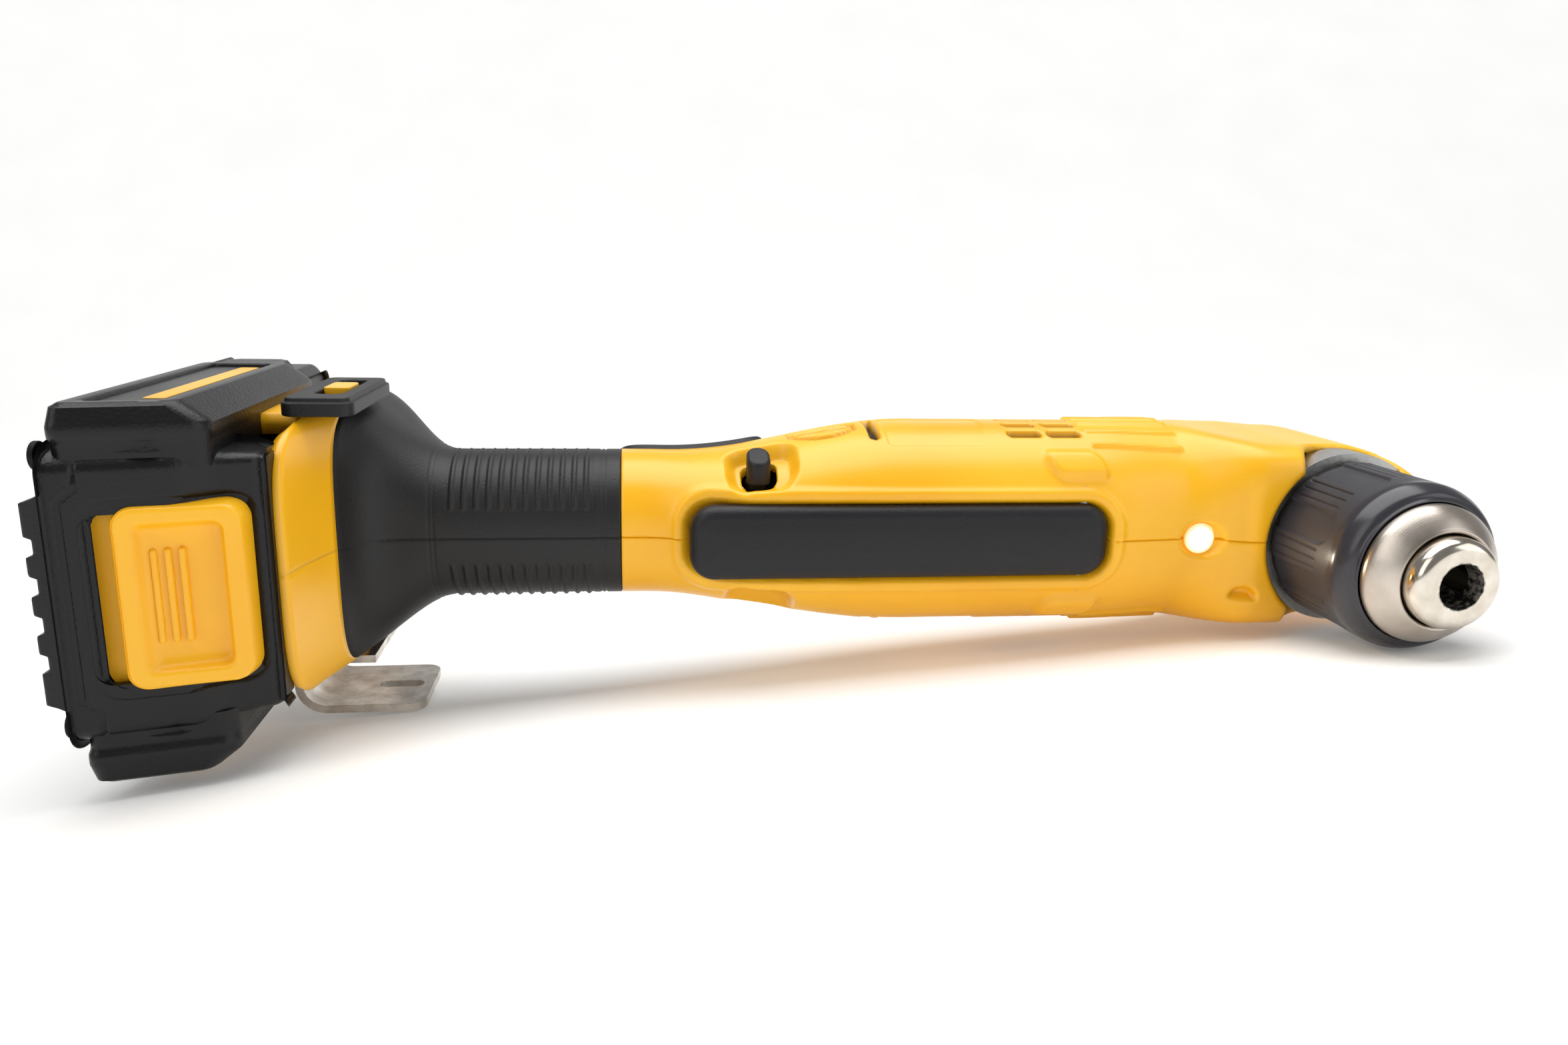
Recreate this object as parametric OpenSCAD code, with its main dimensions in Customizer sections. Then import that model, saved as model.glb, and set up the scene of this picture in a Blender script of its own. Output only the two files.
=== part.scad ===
// Cordless right angle drill, lying on its side, in millimetres.
// X runs along the tool towards the head, -Y is the way the chuck points,
// and Z is square to the parting plane of the housing.
// The origin is the centre of the chuck's mouth.

/* [Chuck] */
// Distance from the chuck's mouth to the motor axis
nose_reach = 67; // [64:1:74]
// Radius of the mouth that takes a bit's shank
bore_r = 5.25; // [5:0.05:5.6]
// Radius of the bright ring round the mouth
ring_r = 10.5; // [9.6:0.1:11]
// Largest radius of the nose cone
cone_r = 16.25; // [15.6:0.1:17]
// Radius of the sleeve that the hand turns
sleeve_r = 20; // [19.6:0.1:20.6]
// Length of the sleeve
sleeve_len = 30; // [28:0.5:31]
// Radius of a jaw
jaw_r = 3.1; // [2.6:0.1:3.3]
// Length of a jaw
jaw_len = 17; // [14:0.5:18]
// Tilt of the jaws from the chuck's axis, in degrees
jaw_tilt = 14.5; // [13:0.5:16]

/* [Head and body] */
// Half width of the motor body, which is also the radius of the head's round end
body_hw = 26; // [25:0.5:30]
// How far the back of the head lies behind the motor axis
head_back = 28; // [27:0.5:34]
// How far the head's front rim lies before the motor axis
rim_reach = 28.5; // [27.5:0.5:30]
// Wall of the moulded housing
wall = 2.5; // [2:0.1:3]
// Radius of the gear case barrel round the spindle
case_r = 21.8; // [21:0.1:22.4]

/* [Handle and foot] */
// Radius of the handle over its rubber
grip_r = 18; // [17:0.5:20]
// Thickness of the rubber overmould
rubber_t = 2.2; // [1.6:0.1:2.6]
// Distance from the spindle to the edge where rubber meets bare housing
grip_front = 182; // [178:1:186]
// Distance from the spindle to the foot's face that the pack meets
foot_reach = 250; // [246:1:256]
// Half width of the battery foot
foot_hw = 31; // [30:0.5:32.5]
// How far the foot's side skirts reach past that face
skirt_h = 12.5; // [11:0.5:14]

/* [Paddle and switches] */
// Distance from the spindle to the paddle's free end
paddle_far = 166; // [163:1:168]
// Distance from the spindle to the paddle's hinged end
paddle_near = 63; // [60:1:66]
// Half width of the paddle
paddle_hw = 9; // [8:0.5:10]
// How far the paddle's face stands from the motor axis
paddle_face = 27; // [26:0.5:28]
// Swing of the paddle, in degrees
paddle_swing = 3.5; // [2:0.5:4]
// Distance from the spindle to the direction button
button_x = 149; // [147:1:151]
// Push-through travel of the direction button
button_travel = 7; // [4:0.5:8]
// Travel of the speed selector
selector_travel = 6; // [4:0.5:7]

/* [Drive] */
// Radius of the motor can
motor_r = 16.5; // [15.5:0.1:16.6]
// Length of the motor can
motor_len = 46; // [40:1:48]
// Radius of the motor shaft
shaft_r = 1.6; // [1.4:0.1:1.9]
// Tooth module of the planetary stage
planet_module = 0.7; // [0.6:0.01:0.7]
// Tooth module of the bevel gears at their large end
bevel_module = 1.4; // [1.2:0.05:1.45]
// Radius of the spindle where the bevel gear sits
spindle_r = 5; // [4.5:0.1:5.4]

/* [Battery pack] */
// Half width of the pack's case
pack_hw = 34.5; // [34:0.1:36]
// Height of the pack's case below its deck
pack_h = 27; // [25.5:0.5:30]
// How far the pack's front reaches before the motor axis
pack_front = 66; // [64:1:70]
// How far the pack's back reaches behind the motor axis
pack_back = 43; // [42:0.5:48]
// Height of the raised panels on the pack's sides
panel_t = 3; // [2:0.25:4]
// Radius of a cell
cell_r = 9.2; // [8.8:0.05:9.25]
// Length of a cell
cell_len = 65; // [60:0.5:65]
// Travel of the release button
release_travel = 4.5; // [3:0.5:5]

/* [Clearances] */
// Gap between a sliding or turning piece and its guide
slide_gap = 0.3; // [0.25:0.05:0.4]
// Radial clearance of a shaft in its bearing
shaft_gap = 0.05; // [0.02:0.01:0.08]
// Room between the rubber and the housing under it
bond_gap = 0.05; // [0.03:0.01:0.1]
// Gap of the pack on its rails
rail_gap = 0.5; // [0.4:0.05:0.6]

/* [Hidden] */
$fn = 48;

// Colours
yellow = "#f7b500";
black = "#1d1d1f";
steel = "#b9bcc0";
bare_alloy = "#a9abad";
copper = "#b87333";

// The moulded body along X
foot_x = -foot_reach;
grip_x = -grip_front;
rubber_end = foot_x + 5;
handle_len = grip_x - rubber_end;
flare_len = 26 / 63 * handle_len;
front_flare_len = 22 / 63 * handle_len;
bulge_from = -172;
bulge_len = 62;
ring_points = 48;

function clamp01(t) = min(1, max(0, t));
function ease(t) = let (c = clamp01(t)) c * c * (3 - 2 * c);
function flare(x) = ease((foot_x + 2 + flare_len - x) / flare_len);
function bulge(x) = ease((x - bulge_from) / bulge_len);
// Half width, front, back and squareness of the outer skin at x
function skin_hw(x) = x > 0
  ? sqrt(max(0.01, body_hw * body_hw - x * x))
  : grip_r + (foot_hw - grip_r) * flare(x) + (body_hw - grip_r) * bulge(x);
function skin_front(x) = -grip_r - 30 * pow(clamp01((foot_x + front_flare_len - x) / front_flare_len), 4)
  - (body_hw - grip_r) * ease((x + grip_front - 4) / 28) + 1.5 * ease((x + 62) / 20)
  - (rim_reach - body_hw + 1.5) * ease((x + 40) / 16);
function skin_back(x) = grip_r + 21 * flare(x - 2) + (body_hw - grip_r) * bulge(x)
  + (head_back - body_hw) * ease((x + 40) / 25);
function skin_power(x) = 2.15 + 2.6 * flare(x) + 5 * ease((x + 42) / 26);
function arc_power(c, n) = sign(c) * pow(abs(c), 2 / n);
// One point of the skin at x and angle a, drawn in by d
function skin_point(x, a, d) = let (
    y0 = skin_front(x) + d, y1 = skin_back(x) - d,
    hw = max(0.1, skin_hw(x) - d), n = skin_power(x))
  [x, (y0 + y1) / 2 + (y1 - y0) / 2 * arc_power(cos(a), n), hw * arc_power(sin(a), n)];
// How far the yellow skin lies under the rubber at x
function under_rubber(x) = x > rubber_end && x < grip_x ? rubber_t : 0;

edge = 0.2;
foot_stations = [for (i = [0:7]) foot_x + i * (rubber_end - edge - foot_x) / 7];
grip_stations = concat(
  [rubber_end + edge],
  [for (i = [1:9]) rubber_end + 0.9 * i * flare_len / 9],
  [for (t = [0.56, 0.71]) rubber_end + t * handle_len],
  [grip_x - edge]);
body_stations = concat(
  [grip_x + edge],
  [for (x = [-176:8:-104]) x],
  [-85, -62],
  [for (x = [-52:6:-4]) x],
  [for (i = [0:6]) (body_hw - 0.3) * sin(i * 15)]);

// A tube of rings joined by triangles, closed at both ends by fans
module loft(rings) {
  m = len(rings[0]);
  k = len(rings);
  polyhedron(
    points = [for (r = rings) each r],
    faces = concat(
      [for (i = [0:k - 2], j = [0:m - 1], t = [0, 1])
        let (a = i * m + j, b = i * m + (j + 1) % m)
        t == 0 ? [a, a + m, b] : [b, a + m, b + m]],
      [[for (j = [0:m - 1]) j]],
      [[for (j = [m - 1:-1:0]) (k - 1) * m + j]]));
}

// A strip of wall between an outer and an inner arc at each station, closed all round
module arc_wall(outer, inner) {
  m = len(outer[0]);
  k = len(outer);
  n = 2 * m;
  loops = [for (i = [0:k - 1]) concat(outer[i], [for (j = [m - 1:-1:0]) inner[i][j]])];
  polyhedron(
    points = [for (r = loops) each r],
    faces = concat(
      [for (i = [0:k - 2], j = [0:n - 1], t = [0, 1])
        let (a = i * n + j, b = i * n + (j + 1) % n)
        t == 0 ? [a, a + n, b] : [b, a + n, b + n]],
      [for (j = [0:m - 2], t = [0, 1], e = [0, k - 1])
        let (p = e * n, q = [p + j, p + j + 1, p + n - 2 - j, p + n - 1 - j],
          f = t == 0 ? [q[0], q[3], q[2]] : [q[0], q[2], q[1]])
        e == 0 ? [f[2], f[1], f[0]] : f]));
}

function reversed(r) = [for (j = [len(r) - 1:-1:0]) r[j]];

// Half of the outer skin: side is 1 for the upper half and -1 for the lower
module skin_half(side) {
  rings = [for (x = concat(foot_stations, grip_stations, body_stations))
    [for (j = [0:ring_points / 2])
      let (p = skin_point(x, j * 360 / ring_points, under_rubber(x)))
      [p[0], p[1], side * max(0, p[2])]]];
  if (side > 0) loft(rings);
  else loft([for (r = rings) reversed(r)]);
}

// The hollow inside the housing
module hollow() {
  stations = concat(
    [foot_x - 1, foot_x + 3, foot_x + 6],
    [for (i = [1:5]) foot_x + 6 + i * 0.15 * flare_len],
    [rubber_end + 0.71 * handle_len, grip_x + 6],
    [-164, -152, -140, -124, -108, -60, -44, -36, -28, -20, -6, 6, 14, 20],
    [body_hw - wall - 0.6]);
  loft([for (x = stations) let (d = wall + (x < grip_x + 4 ? rubber_t : 0))
    [for (j = [0:27]) let (p = skin_point(x, j * 360 / 28, d)) p]]);
}

module at_axis() { translate([0, nose_reach, 0]) children(); }
// Turns a profile drawn as [radius, height] about the chuck's axis, with height along Y
module about_y() { rotate([-90, 0, 0]) children(); }
// The same about the motor axis, with height along X
module about_x() { rotate([0, 90, 0]) children(); }
module ring_y(r1, r0, y0, y1) {
  translate([0, y0, 0]) about_y() difference() {
    cylinder(r = r1, h = y1 - y0);
    translate([0, 0, -1]) cylinder(r = r0, h = y1 - y0 + 2);
  }
}
module ring_x(r1, r0, x0, x1) {
  translate([x0, 0, 0]) about_x() difference() {
    cylinder(r = r1, h = x1 - x0);
    translate([0, 0, -1]) cylinder(r = r0, h = x1 - x0 + 2);
  }
}
module rod_x(r, x0, x1) { translate([x0, 0, 0]) about_x() cylinder(r = r, h = x1 - x0); }
module rod_y(r, y0, y1) { translate([0, y0, 0]) about_y() cylinder(r = r, h = y1 - y0); }
module box(p, q) { translate(p) cube(q - p); }
// A slot with round ends, long in X, in the plane of X and Y
module slot2d(length, width) {
  square([length - width, width], center = true);
  for (s = [-1, 1]) translate([s * (length - width) / 2, 0]) circle(d = width);
}

// A rectangle with round corners, centred
module rounded2d(length, width, r) {
  square([length - 2 * r, width], center = true);
  square([length, width - 2 * r], center = true);
  for (i = [-1, 1], j = [-1, 1]) translate([i * (length / 2 - r), j * (width / 2 - r)]) circle(r = r);
}

// The chuck along Y, measured from the motor axis
nose_y = -nose_reach;
cone_y = nose_y + 4.5;
cone_back = nose_y + 11;
sleeve_y = cone_back + 0.5;
sleeve_back = sleeve_y + sleeve_len;
chuck_r = sleeve_r - 4;
nut_y = sleeve_back - 9.5;
nut_len = 7;
nose_round = 2.8;
bore_guide = 9;
bore_depth = 24;
stud_r = 4.76;
hub_r = 13.2;
jaw_tip_y = nose_y + 22.4;
jaw_edge = bore_r + 0.15;
jaw_axis_r = jaw_edge + jaw_r;
jaw_closing = 17.5;
function jaw_line(y) = jaw_axis_r + (y - jaw_tip_y) * tan(jaw_tilt);
nut_gap = 0.7;
nut_r = sleeve_r - 1.7;

// The drive along X
spindle_seat = -24;
front_bearing_y = -22;
front_bearing_len = 9;
front_bearing_r = 13;
rear_bearing_y = 12.5;
rear_bearing_len = 5.5;
rear_bearing_r = 9;
bevel_teeth = 20;
pinion_teeth = 10;
bevel_r = bevel_module * bevel_teeth / 2;
pinion_r = bevel_module * pinion_teeth / 2;
bevel_taper = 0.68;
case_flange_x = -42;
neck_r = 17;
carrier_r = 4;
carrier_bearing_x = -38;
carrier_bearing_len = 7;
carrier_bearing_r = 9;
sun_teeth = 12;
planet_teeth = 18;
ring_teeth = sun_teeth + 2 * planet_teeth;
orbit_r = planet_module * (sun_teeth + planet_teeth) / 2;
ring_gear_r = 20.3;
gear_x = -58;
gear_len = 8;
ring_back = -65;
carrier_pin_r = 1.5;
motor_front = -90;
motor_back = motor_front - motor_len;
cap_len = 8;
fan_x = -86;
fan_len = 9;
fan_r = 15.5;
fan_blades = 11;
armature_slots = 7;
bearing_r = 5;
cradle_r = body_hw - 2.2;
shift_x = -60;
shift_len = 6;
shift_r = ring_gear_r + slide_gap + 1.2;

// The paddle, switch and buttons
paddle_t = 5;
paddle_edge = 2.6;
paddle_round = 5;
hinge_x = -paddle_near - 6;
hinge_y = -21.5;
hinge_pin_r = 1.5;
plunger_x = -paddle_far + 6;
plunger_r = 2.5;
plunger_end = 3;
plunger_travel = (hinge_x - plunger_x) * sin(paddle_swing);
switch_y = -1;
switch_x = -176;
bar_w = 7;
bar_y = -6;
bar_top = skin_hw(-button_x) + 0.5;
guide_z = skin_hw(-button_x) - 9;
guide_t = 4;
bar_len = 28 + button_travel;
scoop_len = 20;
scoop_w = 14.4;
mark_depth = 0.4;
selector_x = -72.6;
selector_len = 14;
selector_arm = 8;
light_x = -38;
light_r = 4;
lens_y = -23.5;
lens_back = -21;

// The foot and the pack
deck_x = foot_x - skirt_h - rail_gap;
pack_x = deck_x - pack_h;
cover_h = 6;
channel_hw = 22.6;
tower_hw = channel_hw - rail_gap;
tower_x = foot_x - 1.2;
tower_front = -44;
tower_back = 34;
lip_x = foot_x - 8.5;
lip_h = 2.5;
lip_w = 2.4;
case_wall = 1.8;
cell_pitch = 2 * cell_r + 0.1;
cell_x = deck_x - 3 - cell_r;
last_cell_y = pack_back - case_wall - 1.5 - cell_r - 1.5;
front_slope = 0.25;
front_corner = 9.5;
back_corner = 5;
release_x = deck_x - 1;
release_hw = 16.5;
release_round = 3;
release_x0 = release_x - 17;
release_x1 = tower_x - 3;
panel_ring = [[-9, -42], [-6, -45], [6, -45], [9, -42], [9, 42], [6, 45], [-6, 45], [-9, 42]];
pack_screw_y = [-57, 36];
pack_screw_z = [-27, 27];
release_low = -54.7;
release_back = -51.5;
blade_z = [-14, -5, 5, 14];
board_hw = 18;

// One corner of a rounded outline, as seven points round its centre
function corner(cy, cz, r, a0) = [for (i = [0:6]) [cy + r * cos(a0 + i * 15), cz + r * sin(a0 + i * 15)]];
function pack_y0(x) = -pack_front + front_slope * (x - pack_x);
// The pack's outline at x, drawn in by d, as points in Y and Z
function pack_ring(x, d) = let (
    y0 = pack_y0(x) + d, y1 = pack_back - d, hw = pack_hw - d,
    f = max(0.5, front_corner - d), b = max(0.5, back_corner - d))
  concat(corner(y1 - b, hw - b, b, 0), corner(y0 + f, hw - f, f, 90),
    corner(y0 + f, f - hw, f, 180), corner(y1 - b, b - hw, b, 270));
module pack_loft(pairs) {
  loft([for (p = pairs) [for (q = pack_ring(p[0], p[1])) [p[0], q[0], q[1]]]]);
}

// Gear teeth: an outline of straight flanks that lean from root to tip, with some play at the pitch circle
function gear_points(teeth, root_r, pitch_r, tip_r, root_w, pitch_w, tip_w) = [
  for (i = [0:teeth - 1]) each let (a = i * 360 / teeth) [
    for (q = [[root_r, -root_w], [pitch_r, -pitch_w], [tip_r, -tip_w],
      [tip_r, tip_w], [pitch_r, pitch_w], [root_r, root_w]])
      [q[0] * cos(a + q[1] * 90 / teeth), q[0] * sin(a + q[1] * 90 / teeth)]]];
module spur2d(teeth) {
  r = planet_module * teeth / 2;
  polygon(gear_points(teeth, r - 1.15 * planet_module, r, r + 0.8 * planet_module, 1.35, 0.86, 0.42));
}

collar_x = -29;
scallop_r = 14.5;
// Housing: each screw is given by its place along X, its place along Y and half the height of its boss
housing_holes = [[foot_x + 4.5, -17.5, 17], [foot_x + 5, 29, 23], [rubber_end + 0.492 * handle_len, -7, 10],
  [grip_x + 1, 10.5, 6.5], [-button_x + 1, 15.9, 6.5],
  [collar_x, skin_front(collar_x) + 6.4, body_hw - 12],
  [collar_x, skin_back(collar_x) - 4.8, body_hw - 14]];
boss_r = 3.6;
groove_pitch = 3.6 / 63 * handle_len;
groove_w = 0.4 * groove_pitch;
fan_slot_x = [-81.2, -70.8];
slot_len = 8.6;
slot_w = 2.5;
slot_pitch = 5.4;
screw_r = 1.5;
screw_head_r = 2.8;
screw_head_h = 2;

module skirt(side) {
  outline = [for (j = [0:ring_points / 2]) skin_point(foot_x, j * 360 / ring_points, 0.15)];
  translate([foot_x - skirt_h, 0, 0]) rotate([90, 0, 90]) linear_extrude(height = skirt_h + 0.5)
    difference() {
      intersection() {
        polygon([for (p = outline) [p[1], side * p[2]]]);
        translate([tower_front + 0.8, -100]) square([200, 200]);
      }
      translate([-100, -channel_hw]) square([100 + tower_back + 0.8, 2 * channel_hw]);
    }
  z0 = channel_hw - lip_w;
  box([lip_x, tower_front + 2, side > 0 ? z0 : -channel_hw - 0.3],
    [lip_x + lip_h, tower_back - 2, side > 0 ? channel_hw + 0.3 : -z0]);
}

module housing_half(side) {
  difference() {
    union() {
      difference() {
        skin_half(side);
        hollow();
      }
      skirt(side);
      intersection() {
        union() {
          for (x = [motor_back + 6, motor_front - 8]) ring_x(skin_hw(x) - 1, motor_r, x, x + 3);
          ring_x(cradle_r, ring_gear_r, case_flange_x - 4, case_flange_x - 1.5);
          difference() {
            ring_y(body_hw - 1.2, case_r, 4, 8);
            rod_x(neck_r + slide_gap, case_flange_x, 0);
          }
          for (h = housing_holes) translate([h[0], h[1], -h[2]]) cylinder(r = boss_r, h = 2 * h[2]);
          for (z = [-15, 7.5]) box([switch_x + 4, 1, z], [switch_x + 8, 11, z + 7.5]);
          difference() {
            for (s = [0, 1]) mirror([0, 0, s]) translate([-button_x, bar_y, guide_z])
              linear_extrude(height = guide_t) slot2d(scoop_len + 2, scoop_w + 2);
            rod_x(motor_r + slide_gap, motor_back - cap_len - slide_gap, motor_back);
          }
        }
        half_trim(side);
      }
    }
    // The paddle's pocket and its hinge pin
    translate([-(paddle_far + paddle_near) / 2, 0, 0]) rotate([90, 0, 0])
      translate([0, 0, motor_r + 0.8]) linear_extrude(height = 30)
        rounded2d(paddle_far - paddle_near + 1, 2 * paddle_hw + 1, paddle_round + 0.3);
    translate([hinge_x, hinge_y, -13.5]) cylinder(r = hinge_pin_r, h = 27);
    // The direction button's bore and the scoops round its ends
    box([-button_x - bar_w / 2 - slide_gap, bar_y - bar_w / 2 - slide_gap, -40],
      [-button_x + bar_w / 2 + slide_gap, bar_y + bar_w / 2 + slide_gap, 40]);
    mirror([0, 0, side > 0 ? 0 : 1]) translate([-button_x, bar_y, guide_z + 2.5])
      linear_extrude(height = 30) slot2d(scoop_len, scoop_w);
    // The speed selector's window in the back
    translate([selector_x - selector_len / 2 - 1.4, 0, 0]) rotate([0, 90, 0]) rotate([0, 0, 38])
      rotate_extrude(angle = 104) translate([body_hw - 3.4, 0])
        square([8, selector_len + selector_travel + 3.4]);
    // The work light, the screws and the mouth round the gear case
    translate([light_x, 0, 0]) rod_y(light_r, -40, -15);
    for (h = housing_holes) translate([h[0], h[1], -40]) {
      cylinder(r = screw_r, h = 39 + h[2]);
      cylinder(r = screw_head_r, h = 43 - h[2]);
    }
    rod_y(case_r + 0.4, -40, -6);
    // The side scallops that bare the gear case, seen from above and below
    translate([0, -rim_reach - 2, side > 0 ? 8 : -48]) cylinder(r = scallop_r, h = 40);
    // Air slots over the fan, one across the body, and a ring of curved ones over the brushes
    translate([0, 0, side > 0 ? 12 : -42]) linear_extrude(height = 30) {
      for (x = fan_slot_x, i = [0:2]) translate([x, -5 - slot_pitch * i]) slot2d(slot_len, slot_w);
      translate([-121.5, -3.5]) rotate(90) slot2d(2 * slot_len, slot_w);
      for (r = [4.6, 8.6]) translate([-133, 1]) intersection() {
        difference() {
          circle(r = r + slot_w / 2);
          circle(r = r - slot_w / 2);
        }
        for (t = [0, 180]) rotate(t + 20) polygon([[0, 0], [12, -8.5], [12, 8.5]]);
      }
    }
  }
}
// A block that trims inner ribs to one half
module half_trim(side) {
  box([foot_x - 10, -60, side > 0 ? 0 : -foot_hw], [body_hw + 14, 60, side > 0 ? foot_hw : 0]);
}
module housing_upper() { color(yellow) at_axis() housing_half(1); }
module housing_lower() { color(yellow) at_axis() housing_half(-1); }

module grip_half(side) {
  function arc(x, d) = [for (j = [0:ring_points / 2])
    let (p = skin_point(x, j * 360 / ring_points, d)) [p[0], p[1], side * max(0, p[2])]];
  outer = [for (x = grip_stations) arc(x, 0)];
  inner = [for (x = grip_stations) arc(x, rubber_t - bond_gap)];
  difference() {
    if (side > 0) arc_wall(outer, inner);
    else arc_wall([for (r = outer) reversed(r)], [for (r = inner) reversed(r)]);
    for (h = housing_holes) translate([h[0], h[1], -40]) cylinder(r = screw_head_r, h = 40);
    for (i = [1:13]) translate([grip_x - i * groove_pitch, 0, 0])
      ring_x(grip_r + 2, grip_r - 0.6, 0, groove_w);
  }
}
module grip_upper() { color(black) at_axis() grip_half(1); }
module grip_lower() { color(black) at_axis() grip_half(-1); }

module housing_screws() {
  color(steel) at_axis() for (h = housing_holes) translate([h[0], h[1], 3 - screw_head_h - h[2]]) {
    cylinder(r = screw_head_r - 0.2, h = screw_head_h);
    cylinder(r = screw_r, h = 2 * h[2] - 3);
  }
}

// Paddle, switch and buttons
function paddle_section(x, inset) = let (
    hw = paddle_hw - inset, r = paddle_edge, y0 = -paddle_face + 0.35 * inset, y1 = -paddle_face + paddle_t)
  concat([for (i = [0:6]) [x, y0 + r - r * cos(i * 15), r - hw - r * sin(i * 15)]],
    [[x, y1, -hw], [x, y1, hw]],
    [for (i = [6:-1:0]) [x, y0 + r - r * cos(i * 15), hw - r + r * sin(i * 15)]]);
module paddle_trigger() {
  // Both ends are rounded in plan, by a quarter turn in five steps
  quarter = [for (i = [0:5]) paddle_round * [1 - cos(i * 18), 1 - sin(i * 18)]];
  stations = concat(
    [for (q = quarter) [-paddle_far + q[0], q[1]]],
    [for (q = reversed(quarter)) [-paddle_near - q[0], q[1]]]);
  color(black) at_axis() difference() {
    union() {
      loft([for (s = stations) paddle_section(s[0], s[1])]);
      translate([hinge_x, hinge_y, -paddle_hw + 1]) cylinder(r = 3.2, h = 2 * paddle_hw - 2);
    }
    translate([hinge_x, hinge_y, -20]) cylinder(r = hinge_pin_r + shaft_gap, h = 40);
  }
}
module trigger_pin() {
  color(steel) at_axis() translate([hinge_x, hinge_y, -13.4]) cylinder(r = hinge_pin_r, h = 26.8);
}
// A coil spring as one tube of six sides, with its turns worked out along Y
module coil(r, wire, length, turns) {
  steps = turns * 10;
  path = function (t) [r * cos(t * turns * 360), t * length, r * sin(t * turns * 360)];
  rings = [for (i = [0:steps]) let (
      t = i / steps, p = path(t), a = t * turns * 360,
      out = [cos(a), 0, sin(a)])
    [for (j = [0:5]) p + wire * (cos(j * 60) * out + sin(j * 60) * [0, 1, 0])]];
  loft(rings);
}
paddle_inner = -paddle_face + paddle_t;
module trigger_spring() {
  color(steel) at_axis() translate([plunger_x, paddle_inner + 1.2, 0])
    coil(4.2, 0.5, switch_y - paddle_inner - 2.4, 5);
}
module switch_body() {
  color(black) at_axis() difference() {
    box([switch_x, switch_y, -7.5], [motor_back - cap_len - 1, 12, 7.5]);
    translate([plunger_x, 0, 0])
      rod_y(plunger_r + shaft_gap, switch_y - 1, plunger_end + plunger_travel + 1.4);
  }
}
module switch_plunger() {
  color("dimgray") at_axis() translate([plunger_x, 0, 0])
    rod_y(plunger_r, paddle_inner + slide_gap, plunger_end);
}
module direction_button() {
  color(black) at_axis() difference() {
    translate([-button_x, bar_y, bar_top - bar_len]) linear_extrude(height = bar_len)
      rounded2d(bar_w, bar_w, 2);
    // A shallow double arrow on each end shows the ways it slides
    for (z = [bar_top - bar_len, bar_top]) translate([-button_x, bar_y, z - mark_depth])
      linear_extrude(height = 2 * mark_depth) double_arrow2d(4.8, 2.6, 0.8);
  }
}
// A two-headed arrow along X, with heads of the given width
module double_arrow2d(length, head, stem) {
  square([length - head, stem], center = true);
  for (a = [0, 180]) rotate(a) translate([(length - head) / 2, 0])
    polygon([[head / 2, 0], [0, head / 2], [0, -head / 2]]);
}
module sector_x(r0, r1, half_angle, x0, x1) {
  translate([x0, 0, 0]) rotate([0, 90, 0]) rotate([0, 0, 90 - half_angle])
    rotate_extrude(angle = 2 * half_angle) translate([r0, 0]) square([r1 - r0, x1 - x0]);
}
module speed_selector() {
  x0 = selector_x - selector_len / 2;
  color(black) at_axis() difference() {
    union() {
      sector_x(body_hw - 1.8, body_hw + 0.9, 50, x0, x0 + selector_len);
      sector_x(shift_r, body_hw - 1.7, selector_arm, x0 + 3.6, x0 + 10.6);
      sector_x(shift_r, shift_r + 0.8, selector_arm, x0 + 3.6, shift_x + shift_len);
    }
    // Finger grooves across its face
    for (i = [-2:2]) translate([selector_x + 2.4 * i, 0, 0]) ring_x(body_hw + 3, body_hw + 0.3, -0.5, 0.5);
  }
}
module shift_ring() {
  color(steel) at_axis() ring_x(shift_r, ring_gear_r + slide_gap, shift_x, shift_x + shift_len);
}
module light_lens() {
  color("white", 0.6) at_axis() translate([light_x, 0, 0]) {
    rod_y(light_r - 0.1, lens_y, lens_back);
    translate([0, lens_y, 0]) intersection() {
      translate([0, 4.6, 0]) sphere(r = 6);
      rod_y(light_r - 0.1, -3, 0.2);
    }
  }
}
module light_board() {
  color("green") at_axis() translate([light_x, 0, 0]) rod_y(light_r - 0.4, lens_back, lens_back + 1.6);
}

// Gear case and drive
module gear_case() {
  bevel_room = bevel_r + 4.2;
  pinion_room = pinion_r + 3.5;
  color(bare_alloy) at_axis() difference() {
    union() {
      rod_y(case_r, spindle_seat, rear_bearing_y + rear_bearing_len + 4);
      rod_x(neck_r, case_flange_x, -8);
      rod_x(neck_r + 1.5, case_flange_x, case_flange_x + 3.5);
    }
    rod_y(front_bearing_r, spindle_seat - 1, front_bearing_y + front_bearing_len);
    rod_y(bevel_room, front_bearing_y + front_bearing_len + 2, rear_bearing_y - 0.8);
    rod_y(front_bearing_r - 2, front_bearing_y, 0);
    rod_y(rear_bearing_r, 0, rear_bearing_y + rear_bearing_len);
    rod_x(pinion_room, carrier_bearing_x + carrier_bearing_len + 1, 0);
    rod_x(carrier_bearing_r, case_flange_x - 1, carrier_bearing_x + carrier_bearing_len);
    rod_x(carrier_bearing_r - 1.5, case_flange_x + 2, 0);
    rod_x(neck_r - 2, case_flange_x - 1, case_flange_x + 2.5);
  }
}
module dust_ring() { color("#333333") at_axis() ring_y(19, 7.5, spindle_seat - 1.2, spindle_seat); }
module front_bearing() {
  y1 = front_bearing_y + front_bearing_len;
  color(steel) at_axis() ring_y(front_bearing_r, spindle_r + 1 + shaft_gap, front_bearing_y, y1);
}
module rear_bearing() {
  y1 = rear_bearing_y + rear_bearing_len;
  color(steel) at_axis() ring_y(rear_bearing_r, spindle_r + shaft_gap, rear_bearing_y, y1);
}
module carrier_bearing() {
  x1 = carrier_bearing_x + carrier_bearing_len;
  color(steel) at_axis() ring_x(carrier_bearing_r, carrier_r + shaft_gap, carrier_bearing_x, x1);
}
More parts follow.
